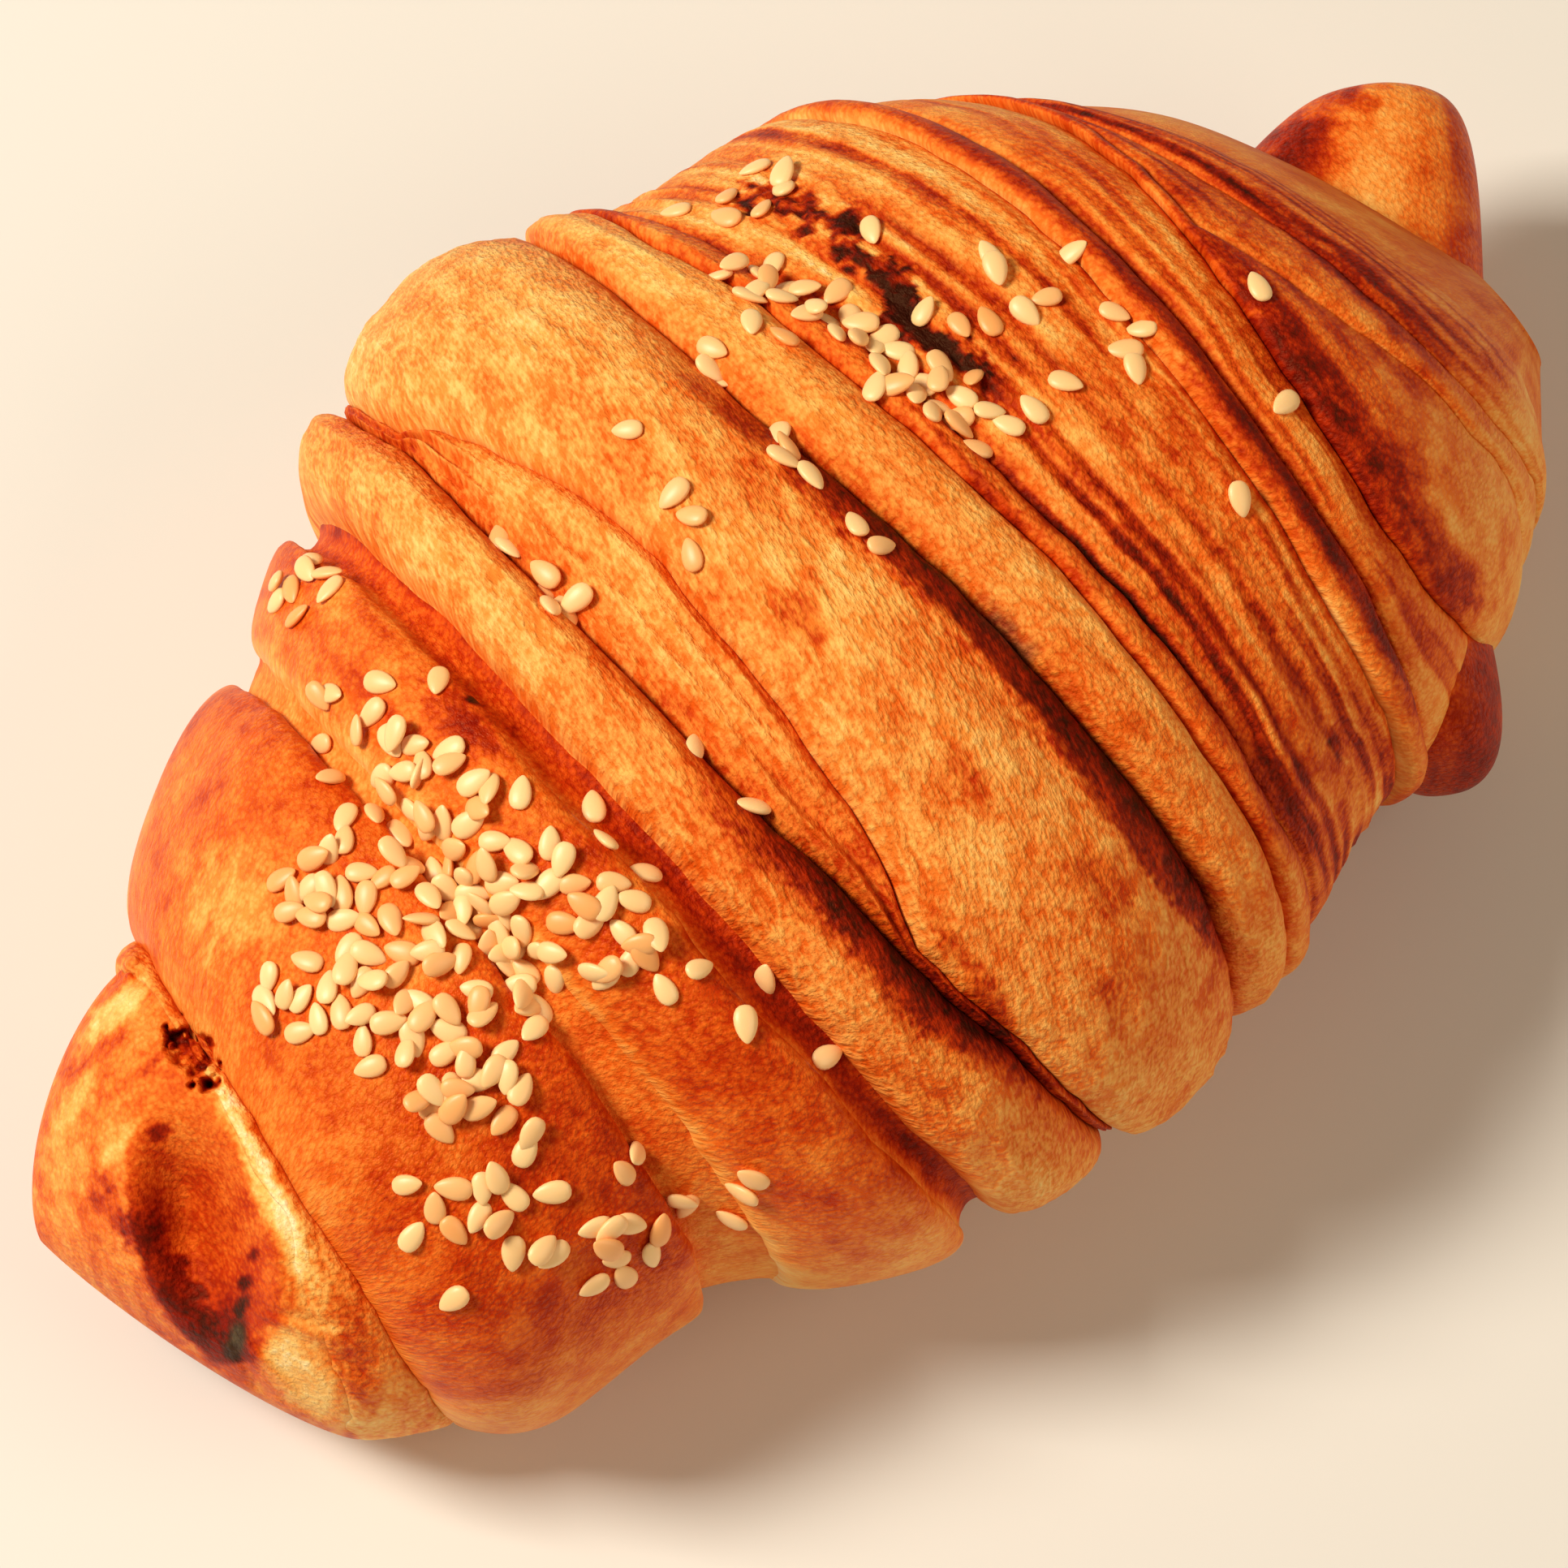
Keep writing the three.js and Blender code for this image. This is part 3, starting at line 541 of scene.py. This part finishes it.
def gridFaces(ringCount, columnCount):
    # the corners and sizes of faces: quads between rings of points, and a fan to a pole at each end
    at = 1 + np.arange(ringCount * columnCount).reshape(ringCount, columnCount)
    onward = np.roll(at, -1, axis=1)
    quads = np.stack([at[:-1], onward[:-1], onward[1:], at[1:]], -1).reshape(-1, 4)
    firstFan = np.stack([np.zeros(columnCount, int), onward[0], at[0]], -1)
    lastFan = np.stack([np.full(columnCount, at.size + 1), at[-1], onward[-1]], -1)
    loops = np.concatenate([quads.ravel(), firstFan.ravel(), lastFan.ravel()])
    sizes = np.concatenate([np.full(len(quads), 4), np.full(2 * columnCount, 3)])
    return loops, sizes


def gridPiece(name, rings, first, last, attributes):
    # a closed skin through rings of points, with a pole at each end
    points = np.concatenate([[first], rings.reshape(-1, 3), [last]])
    return meshPiece(name, points, *gridFaces(*rings.shape[:2]), attributes)


def meshPiece(name, points, loops, sizes, attributes):
    # attributes: name to one value or three values for each point
    mesh = bpy.data.meshes.new(name)
    mesh.vertices.add(len(points))
    mesh.vertices.foreach_set("co", points.ravel())
    mesh.loops.add(len(loops))
    mesh.loops.foreach_set("vertex_index", loops)
    mesh.polygons.add(len(sizes))
    mesh.polygons.foreach_set("loop_start", np.concatenate([[0], np.cumsum(sizes)[:-1]]))
    mesh.polygons.foreach_set("use_smooth", np.ones(len(sizes), bool))
    mesh.update(calc_edges=True)
    for key, values in attributes.items():
        if values.ndim == 1:
            mesh.attributes.new(key, "FLOAT", "POINT").data.foreach_set("value", values.ravel())
        else:
            mesh.attributes.new(key, "FLOAT_VECTOR", "POINT").data.foreach_set("vector", values.ravel())
    mesh.validate()
    piece = bpy.data.objects.new(name, mesh)
    bpy.context.scene.collection.objects.link(piece)
    return piece


# mm between points above and underneath and between rows, the angles from which and to which it is
# seen from above, and how far and deep the end of a skin is tucked in
crust = dict(overStep=0.3, underStep=1.4, rowGap=0.22, nubRows=90, endRows=60, tuck=1.2, tuckDepth=3,
             overFrom=-25, overTo=205)


def columnAngles():
    # angles round the roll, closer together where it is seen from above
    low, high = np.radians([crust["overFrom"], crust["overTo"]])
    over = int((high - low) * girthRadius / crust["overStep"])
    under = int((fullTurn - high + low) * girthRadius / crust["underStep"])
    return np.concatenate([np.linspace(low, high, over, endpoint=False),
                           np.linspace(high, fullTurn + low, under, endpoint=False)])


columns = columnAngles()
# the layers of each closed skin, from the nub to the end of the roll
slices = [("nub", "strip"), ("first", "groove"), ("second", "thread"), ("rope", "fold"), ("top",),
          ("sixth", "ridge"), ("trough", "washed"), ("collar", "cap"), ("bulge", "streak", "end")]
sliceStarts = [names[0] for names in slices]


def rowsOf(name):
    # the rows of one layer: points, bake, roughness, fibre and ash, each rows x columns
    if name == "end":
        t = np.arange(crust["endRows"]) / crust["endRows"]
        return endSkin(*np.meshgrid(t, columns, indexing="ij"))
    if name == "nub":
        t = np.arange(crust["nubRows"] - 1, 0, -1) / crust["nubRows"]
        return nubSkin(*np.meshgrid(t, columns, indexing="ij"))
    index = lineNumber[name]
    places = linesAt(columns)
    width = (places[index + 1] - places[index]).max()
    rows = max(7, int(width / crust["rowGap"]))
    t = np.arange(rows) / rows
    return layerSkin(index, *np.meshgrid(t, columns, indexing="ij"))


def lineRow(name, extraDepth, shift):
    # one row at a layer's left line, sunk into the roll and moved along it
    index = lineNumber[name]
    x = linesAt(columns)[index] + shift
    offset = -(layerLines[index]["dip"] + extraDepth) * reliefAt(columns)
    return rollPoint(x, columns, offset)


ashLook = dict(shade=(104, 92, 66), cover=0.8, dark=0.4)
grainShare = dict(smooth=0.09, fibrous=0.05)  # how far the grain lightens and darkens the bake


def crustAttributes(bake, rough, fibre, ash, place):
    # values for each point of a grid and its two poles
    ashen = (ashLook["cover"] * ash)[..., None]
    ashShade = linear(ashLook["shade"])
    grain = grainShare["smooth"] + grainShare["fibrous"] * fibre
    values = dict(pale=mix(bakeColour(bake - grain), ashShade, ashen),
                  dark=mix(bakeColour(bake + grain), ashShade * ashLook["dark"], ashen),
                  roughness=rough, fibre=fibre, place=place)
    whole = {}
    for key, value in values.items():
        flat = value.reshape(bake.size, -1)
        flat = np.concatenate([flat[:1], flat, flat[-1:]])
        whole[key] = flat[:, 0] if flat.shape[1] == 1 else flat
    return whole


def buildSlice(names, first, last, followedBy):
    # layers side by side as one closed skin, whose ends are tucked into the roll or run to a pole
    parts = [rowsOf(name) for name in names]
    points, bake, rough, fibre, ash = (np.concatenate([part[i] for part in parts]) for i in range(5))
    if first is None:
        tucked = lineRow(names[0], crust["tuckDepth"], -crust["tuck"])
        points = np.concatenate([tucked[None], points])
        bake, rough, fibre, ash = (np.concatenate([a[:1], a]) for a in (bake, rough, fibre, ash))
        first = points[0].mean(0)
    if last is None:
        edge = lineRow(followedBy, 0, 0)
        tucked = lineRow(followedBy, crust["tuckDepth"], crust["tuck"])
        points = np.concatenate([points, edge[None], tucked[None]])
        bake, rough, fibre, ash = (np.concatenate([a, a[-1:], a[-1:]]) for a in (bake, rough, fibre, ash))
        last = points[-1].mean(0)
    girth = np.broadcast_to(girthAt(columns), bake.shape)
    slant = layerLooks[names[0]]["shear"] * girth
    isNub = names[0] == "nub"
    place = points if isNub else np.stack([points[..., 0] + slant, girth, 0 * girth], -1)
    attributes = crustAttributes(bake, rough, fibre, ash, place)
    name = "crust" + names[0].capitalize()
    return gridPiece(name, toFrame(points), toFrame(np.array(first)), toFrame(np.array(last)), attributes)


class Wire:
    # a socket of a node tree, with arithmetic

    def __init__(self, shader, socket):
        self.shader = shader
        self.socket = socket

    def math(self, operation, *others):
        return self.shader.node("ShaderNodeMath", dict(operation=operation), {0: self, **{
            i + 1: other for i, other in enumerate(others)}})

    def __add__(self, other):
        return self.math("ADD", other)

    def __sub__(self, other):
        return self.math("SUBTRACT", other)

    def __rsub__(self, other):
        return self.math("MULTIPLY", -1).math("ADD", other)

    def __mul__(self, other):
        return self.math("MULTIPLY", other)

    def clip(self):
        return self.shader.node("ShaderNodeClamp", {}, {"Value": self})


class Shader:
    # a material and its nodes

    def __init__(self, name):
        self.material = bpy.data.materials.new(name)
        self.material.use_nodes = True
        self.tree = self.material.node_tree
        self.surface = self.tree.nodes["Principled BSDF"]

    def node(self, kind, settings, inputs, output=0):
        node = self.tree.nodes.new(kind)
        for key, value in settings.items():
            setattr(node, key, value)
        for key, value in inputs.items():
            self.feed(node.inputs[key], value)
        return Wire(self, node.outputs[output])

    def feed(self, socket, value):
        if isinstance(value, Wire):
            self.tree.links.new(value.socket, socket)
        else:
            socket.default_value = value

    def attribute(self, name, output="Vector"):
        return self.node("ShaderNodeAttribute", dict(attribute_name=name), {}, output)

    def noise(self, place, scale, detail):
        return self.node("ShaderNodeTexNoise", {}, {
            "Vector": self.stretch(place, scale), "Scale": 1, "Detail": detail}, "Fac")

    def stretch(self, place, scale):
        return self.node("ShaderNodeVectorMath", dict(operation="MULTIPLY"), {0: place, 1: scale})

    def blend(self, share, a, b):
        # sockets 6 and 7 of a colour Mix are its two colours, and output 2 is the result
        return self.node("ShaderNodeMix", dict(data_type="RGBA"), {0: share, 6: a, 7: b}, 2)


# grains are how many to the mm along the roll, round it and into it; flaky is how much of the grain
# is crinkles on the most fibrous layers; contrast and fibreContrast are how the grain shades the crust
crustFinish = dict(crinkles=(2.6, 0.7, 0.7), pores=(3, 2.4, 2.4), cells=(1.9, 1.6, 1.6), fine=(6, 4, 4),
                   patches=(0.35, 0.25, 0.25), poreShare=0.5, cellShare=0.4, poreLift=0.43, flaky=0.5,
                   contrast=3.4, fibreContrast=1.6, patchiness=1.6, roughSpread=0.3, depth=0.9,
                   fibreDepth=1.8, fineDepth=0.3, bumpStrength=0.6, bumpDistance=0.5, specular=0.2,
                   specularTint=(1, 0.6, 0.28, 1))


def crustMaterial():
    shader = Shader("crustMaterial")
    look = crustFinish
    place = shader.attribute("place")
    fibre = shader.attribute("fibre", "Fac")
    crinkles = shader.noise(place, look["crinkles"], 3)
    cells = shader.node("ShaderNodeTexVoronoi", {}, {
        "Vector": shader.stretch(place, look["cells"]), "Scale": 1})
    # poreLift makes up for the cells' own mean, so that the pores stay round 0.5
    pores = shader.noise(place, look["pores"], 3) * look["poreShare"] - cells * look["cellShare"]
    pores = pores + look["poreLift"]
    patches = shader.noise(place, look["patches"], 1)
    flaky = fibre * look["flaky"]
    grain = crinkles * flaky + pores * (1 - flaky)
    contrast = fibre * -look["fibreContrast"] - look["contrast"]
    share = ((grain - 0.5) * contrast + (patches - 0.5) * look["patchiness"] + 0.5).clip()
    shader.feed(shader.surface.inputs["Base Color"],
                shader.blend(share, shader.attribute("pale"), shader.attribute("dark")))
    shader.feed(shader.surface.inputs["Roughness"],
                (shader.attribute("roughness", "Fac") + (grain - 0.5) * look["roughSpread"]).clip())
    height = grain * (fibre * look["fibreDepth"] + look["depth"])
    height = height + shader.noise(place, look["fine"], 1) * look["fineDepth"]
    shader.feed(shader.surface.inputs["Normal"], shader.node("ShaderNodeBump", {}, {
        "Strength": look["bumpStrength"], "Distance": look["bumpDistance"] * mm, "Height": height}))
    shader.surface.inputs["Specular IOR Level"].default_value = look["specular"]
    shader.surface.inputs["Specular Tint"].default_value = look["specularTint"]
    return shader.material


crustSkin = crustMaterial()


def dress(piece, material):
    piece.data.materials.append(material)
    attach(piece, "root")
    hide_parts("croissant")
    return piece


poles = dict(nub=nubSkin(np.array([1.0]), np.array([0.0]))[0][0], end=capTip)
for names, followedBy in zip(slices, sliceStarts[1:] + [None]):
    dress(buildSlice(names, poles.get(names[0]), poles.get(names[-1]), followedBy), crustSkin)

# two ends of the wound dough that stand out of the roll, as blunt lobes along a line; facets are
# angles round a lobe where it is darker or paler, partly as painted light on its top and painted
# shade on its sides, with their half widths and what they add, and spots the same at places x, y
# with a half width in mm
lobes = dict(
    horn=dict(start=(58.5, -2.4, 19), end=(80.2, 9.9, 22), across=17.5, acrossTip=8.6, up=11, upTip=6,
              blunt=5, turn=140, bake=0.47, seed=400, tipBake=0.1,
              litAndShadedSides=[(35, 40, 0.26), (95, 24, -0.12), (148, 12, 0.24), (176, 20, 0.26)],
              spots=[(69.5, 9, 5, 0.3), (76.2, 9, 2, 0.36)]),
    # the tail's dark bake is partly painted shade, where it lies in the shadow under the cap
    tail=dict(start=(50, -25, 19), end=(41.5, -42.6, 16.5), across=7.6, acrossTip=7.2, up=13, upTip=12,
              blunt=3.6, turn=-40, bake=0.86, seed=420, tipBake=0, litAndShadedSides=[(90, 30, -0.06)], spots=[]),
)
lobeRings, lobeColumns = 120, 160
lobeFinish = dict(clearance=1, bumps=0.05, patches=0.12, mottle=0.07, ragged=0.4, rough=0.42)


def buildLobe(name, lobe):
    # ovals along a line from start to end, which shrink along a superellipse to a blunt tip
    start, end = np.array(lobe["start"], float), np.array(lobe["end"], float)
    ahead = end - start
    sideways = np.array([np.cos(np.radians(lobe["turn"])), np.sin(np.radians(lobe["turn"])), 0])
    turn, angle = np.meshgrid(np.arange(lobeRings) / lobeRings * np.pi / 2,
                              np.arange(lobeColumns) / lobeColumns * fullTurn, indexing="ij")
    share = np.sin(turn) ** (2 / lobe["blunt"])
    taper = np.cos(turn) ** (2 / lobe["blunt"])
    bumps = 1 + lobeFinish["bumps"] * noise(share * 3, angle * 1.2, lobe["seed"]) * np.sin(angle) ** 2
    wide = taper * mix(lobe["across"], lobe["acrossTip"], share) * bumps
    high = taper * mix(lobe["up"], lobe["upTip"], share) * bumps
    points = start + share[..., None] * ahead + (wide * np.cos(angle))[..., None] * sideways
    points[..., 2] = np.maximum(points[..., 2] + high * np.sin(angle), lobeFinish["clearance"])
    x, y = points[..., 0], points[..., 1]
    bake = lobe["bake"] + lobeFinish["patches"] * noise(x / 4, y / 4, lobe["seed"] + 1)
    bake = bake + lobeFinish["mottle"] * noise(x / 1.2, y / 1.2, lobe["seed"] + 2)
    # painted light on the lobe's top and painted shade on its sides, at the given angles
    for facet, width, extra in lobe["litAndShadedSides"]:
        away = (np.degrees(angle) - facet + 180) % 360 - 180
        bake = bake + extra * (1 - smooth(0.5, 1.2, np.abs(away) / width))
    ragged = lobeFinish["ragged"] * noise(x / 1.6, y / 1.6, lobe["seed"] + 3)
    for spotX, spotY, width, extra in lobe["spots"]:
        away = np.hypot(x - spotX, y - spotY) / width
        bake = bake + extra * (1 - smooth(0.4, 1.2, away + ragged))
    bake = bake + lobe["tipBake"] * smooth(0.9, 0.99, share)
    attributes = crustAttributes(bake, lobeFinish["rough"] + 0 * bake, 0 * bake, 0 * bake, points)
    return gridPiece(name, toFrame(points), toFrame(start), toFrame(end), attributes)


for name, lobe in lobes.items():
    dress(buildLobe(name, lobe), crustSkin)
print("stage: horn and tail")

# sizes in mm; sunk, and overlap for each seed below, are shares of high; pale and glazed are sRGB,
# and fewGlazed over 1 keeps most seeds pale; a seed lies over others within near, as a share of long,
# and is left out over more than most of them or within tooNear; a patch ends at spread; slopeReach is
# in mm; lean is how far seeds tip, and leanOver how much more those that lie over others do
seedSize = dict(long=3.2, wide=2.05, high=0.95, sunk=0.2, overlap=0.6)
seedLook = dict(pale=(255, 212, 150), glazed=(246, 152, 68), fewGlazed=2.2, glazedMost=0.75,
                glazedAndShadedRim=0.4, roughness=0.42, depth=0.8, depthShare=0.15, depthTint=(1, 0.6, 0.3))
seedRules = dict(near=0.6, tooNear=0.36, most=2, spread=2.1, slopeReach=0.9, lean=0.12, leanOver=1.3,
                 sizes=(0.88, 1.08))
# patches of seeds: middle as x and the angle round the roll, spread along and round in mm, and count
seedPatches = [
    (-39, 97, 2.8, 4.2, 62),
    (-39.5, 99, 4.6, 7, 42),
    (-36, 77, 2.8, 5, 34),
    (-49.5, 79, 4, 5, 34),
    (-33.5, 105, 3, 4.6, 34),
    (-49.5, 97, 4, 5, 44),
    (-48, 112, 3.4, 5, 36),
    (-54, 121, 3.4, 6, 16),
    (-55.5, 78, 1.6, 3.4, 5),
    (-55, 134, 3, 5, 6),
    (-48, 150, 3, 5, 12),
    (-38, 155, 2.4, 5, 7),
    (-30, 125, 2.6, 6, 4),
    (-30, 35, 2, 5, 8),
    (-36, 56, 3.4, 6, 7),
    (-18.6, 73, 1.1, 3.6, 8),
    (-17, 95, 1.4, 7, 4),
    (15.4, 62, 1.2, 2.8, 9),
    (17.2, 70, 1.3, 3.4, 18),
    (18.6, 79, 1.5, 3.6, 18),
    (20.6, 88, 2, 4, 18),
    (28, 80, 3.4, 8, 11),
    (23, 36, 2, 3, 3),
    (5.2, 83, 1.2, 11, 10),
    (12, 56, 3.4, 7, 6),
    (-6, 82, 2.4, 4, 4),
    (34, 100, 4, 11, 5),
    (45.5, 102, 3, 5, 2),
    (22, 38, 4, 5, 4),
]
seedRings, seedColumns = 9, 12


def surfaceAt(x, angle):
    # points of the finished skin at x and angle, worked out layer by layer
    places = linesAt(angle)
    index = np.clip((places <= x).sum(0) - 1, 0, lineCount - 2)
    points = np.zeros(x.shape + (3,))
    for number in np.unique(index):
        here = index == number
        layer = layerLines[number]
        left, right = places[number][here], places[number + 1][here]
        across = np.clip((x[here] - left) / (right - left), 0, 1) ** layer["lean"]
        cosine = 1 - 2 * across
        t = np.arccos(np.sign(cosine) * np.abs(cosine) ** (layer["full"] / 2)) / np.pi
        points[here] = layerSkin(number, t, angle[here])[0]
    return points


def seedShape():
    # a drop: its half width grows and falls along it, fuller at the round end
    turn, angle = np.meshgrid(np.pi * (np.arange(seedRings) + 1) / (seedRings + 1),
                              fullTurn * np.arange(seedColumns) / seedColumns, indexing="ij")
    share = (1 - np.cos(turn)) / 2
    half = share ** 0.42 * (1 - share) ** 0.66
    half = half / half.max() / 2
    rings = np.stack([seedSize["long"] * (share - 0.5), seedSize["wide"] * half * np.cos(angle),
                      seedSize["high"] * half * np.sin(angle)], -1)
    end = seedSize["long"] / 2
    points = np.concatenate([[(-end, 0, 0)], rings.reshape(-1, 3), [(end, 0, 0)]])
    return points, *gridFaces(seedRings, seedColumns)


def scatterSeeds():
    # bell-shaped patches; a seed that would lie on another one is laid over it, or left out where
    # two are there already
    rng = np.random.default_rng(7)
    spread = seedRules["spread"]
    xs, angles = [], []
    for x, angle, along, around, count in seedPatches:
        xs.append(x + along * np.clip(rng.normal(0, 1, count), -spread, spread))
        away = np.clip(rng.normal(0, 1, count), -spread, spread)
        angles.append(np.radians(angle) + around * away / girthRadius)
    x, angle = np.concatenate(xs), np.concatenate(angles)
    turn = rng.uniform(0, fullTurn, x.size)
    reach = seedRules["slopeReach"]
    girth = reach / girthRadius
    middle = surfaceAt(x, angle)
    along = surfaceAt(x + reach, angle) - surfaceAt(x - reach, angle)
    around = surfaceAt(x, angle + girth) - surfaceAt(x, angle - girth)
    out = np.cross(around, along)
    out = out / np.linalg.norm(out, axis=1)[:, None]
    kept, lift = [], []
    for i in range(x.size):
        gap = np.linalg.norm(middle[kept] - middle[i], axis=1) if kept else np.array([9.0])
        near = gap < seedRules["near"] * seedSize["long"]
        if near.sum() > seedRules["most"] or gap.min() < seedRules["tooNear"] * seedSize["long"]:
            continue
        kept.append(i)
        lift.append(near.sum())
    lift = np.array(lift)
    out, middle, turn, along = out[kept], middle[kept], turn[kept], along[kept]
    lean = rng.normal(0, seedRules["lean"], (len(kept), 3)) * (1 + seedRules["leanOver"] * lift)[:, None]
    out = out + lean
    out = out / np.linalg.norm(out, axis=1)[:, None]
    side = np.cross(out, along)
    side = side / np.linalg.norm(side, axis=1)[:, None]
    front = np.cross(side, out)
    cosine, sine = np.cos(turn)[:, None], np.sin(turn)[:, None]
    front, side = front * cosine + side * sine, side * cosine - front * sine
    size = rng.uniform(*seedRules["sizes"], len(kept))
    height = seedSize["high"] * (0.5 - seedSize["sunk"] + seedSize["overlap"] * lift)
    points, loops, sizes = seedShape()
    axes = np.stack([front, side, out], 1) * size[:, None, None]
    whole = (middle + out * height[:, None])[:, None, :] + points @ axes
    count = len(points)
    loops = (loops[None, :] + count * np.arange(len(kept))[:, None]).ravel()
    sizes = np.tile(sizes, len(kept))
    tint = np.repeat(rng.uniform(0, 1, len(kept)) ** seedLook["fewGlazed"], count)
    # egg wash has coloured some seeds; the lower rims of all are tinted towards the glazed shade, partly egg
    # wash and partly painted shade where a seed meets the crust
    pale, glazed = linear(seedLook["pale"]), linear(seedLook["glazed"])
    rim = np.tile(smooth(0.1, -0.3, points[:, 2] / seedSize["high"]), len(kept))
    wash = np.clip(seedLook["glazedMost"] * tint + seedLook["glazedAndShadedRim"] * rim, 0, 1)
    colour = mix(pale, glazed, wash[:, None])
    return meshPiece("seeds", toFrame(whole.reshape(-1, 3)), loops, sizes, dict(shade=colour))


def seedMaterial():
    shader = Shader("seedMaterial")
    shader.feed(shader.surface.inputs["Base Color"], shader.attribute("shade"))
    shader.surface.inputs["Roughness"].default_value = seedLook["roughness"]
    shader.surface.inputs["Subsurface Weight"].default_value = seedLook["depthShare"]
    shader.surface.inputs["Subsurface Radius"].default_value = seedLook["depthTint"]
    shader.surface.inputs["Subsurface Scale"].default_value = seedLook["depth"] * mm
    return shader.material


seeds = dress(scatterSeeds(), seedMaterial())
print("stage: seeds", len(seeds.data.polygons))

# sizes and distances are in metres, but the camera's sensor and target are in mm
lights = dict(
    keyLight=dict(azimuth=-132, elevation=50, distance=1.0, size=0.3, power=11.5, colour=(1, 0.93, 0.8)),
    fillLight=dict(azimuth=30, elevation=38, distance=1.2, size=0.8, power=4.6, colour=(1, 0.82, 0.6)),
)
surroundings = dict(skyColour=(1, 0.84, 0.62, 1), skyStrength=0.2, floorColour=(0.78, 0.76, 0.73, 1),
                    floorRoughness=0.9, floorReach=2)
camera = dict(azimuth=faceTurn, elevation=faceTilt, distance=0.8, frameWidth=138 * mm, sensorWidth=36,
              clipEnd=10, target=faceMiddle)


def aim(name, data, view, target):
    # an object that looks at the target, from the view's side and distance
    axes = viewAxes(view["azimuth"], view["elevation"])
    piece = bpy.data.objects.new(name, data)
    bpy.context.scene.collection.objects.link(piece)
    turn = Matrix(axes).transposed().to_4x4()
    piece.matrix_world = Matrix.Translation(Vector(target + axes[2] * view["distance"])) @ turn
    return piece


def placeCamera():
    data = bpy.data.cameras.new("camera")
    data.sensor_width = camera["sensorWidth"]
    data.lens = camera["sensorWidth"] * camera["distance"] / camera["frameWidth"]
    data.clip_end = camera["clipEnd"]
    bpy.context.scene.camera = aim("camera", data, camera, toFrame(np.array(camera["target"], float)))


def areaLight(name, light):
    data = bpy.data.lights.new(name, "AREA")
    data.size = light["size"]
    data.energy = light["power"]
    data.color = light["colour"]
    aim(name, data, light, np.array([0, 0, camera["target"][2] * mm]))


placeCamera()
for name, light in lights.items():
    areaLight(name, light)

reach = surroundings["floorReach"]
floorMesh = bpy.data.meshes.new("floor")
floorMesh.from_pydata([(-reach, -reach, 0), (reach, -reach, 0), (reach, reach, 0), (-reach, reach, 0)], [],
                      [(0, 1, 2, 3)])
floor = bpy.data.objects.new("floor", floorMesh)
bpy.context.scene.collection.objects.link(floor)
floorMaterial = bpy.data.materials.new("floorMaterial")
floorMaterial.use_nodes = True
floorSurface = floorMaterial.node_tree.nodes["Principled BSDF"]
floorSurface.inputs["Base Color"].default_value = surroundings["floorColour"]
floorSurface.inputs["Roughness"].default_value = surroundings["floorRoughness"]
floorMesh.materials.append(floorMaterial)

world = bpy.data.worlds.new("world")
bpy.context.scene.world = world
world.use_nodes = True
world.node_tree.nodes["Background"].inputs["Color"].default_value = surroundings["skyColour"]
world.node_tree.nodes["Background"].inputs["Strength"].default_value = surroundings["skyStrength"]
bpy.context.scene.view_settings.view_transform = "Standard"
print("stage: camera and light")
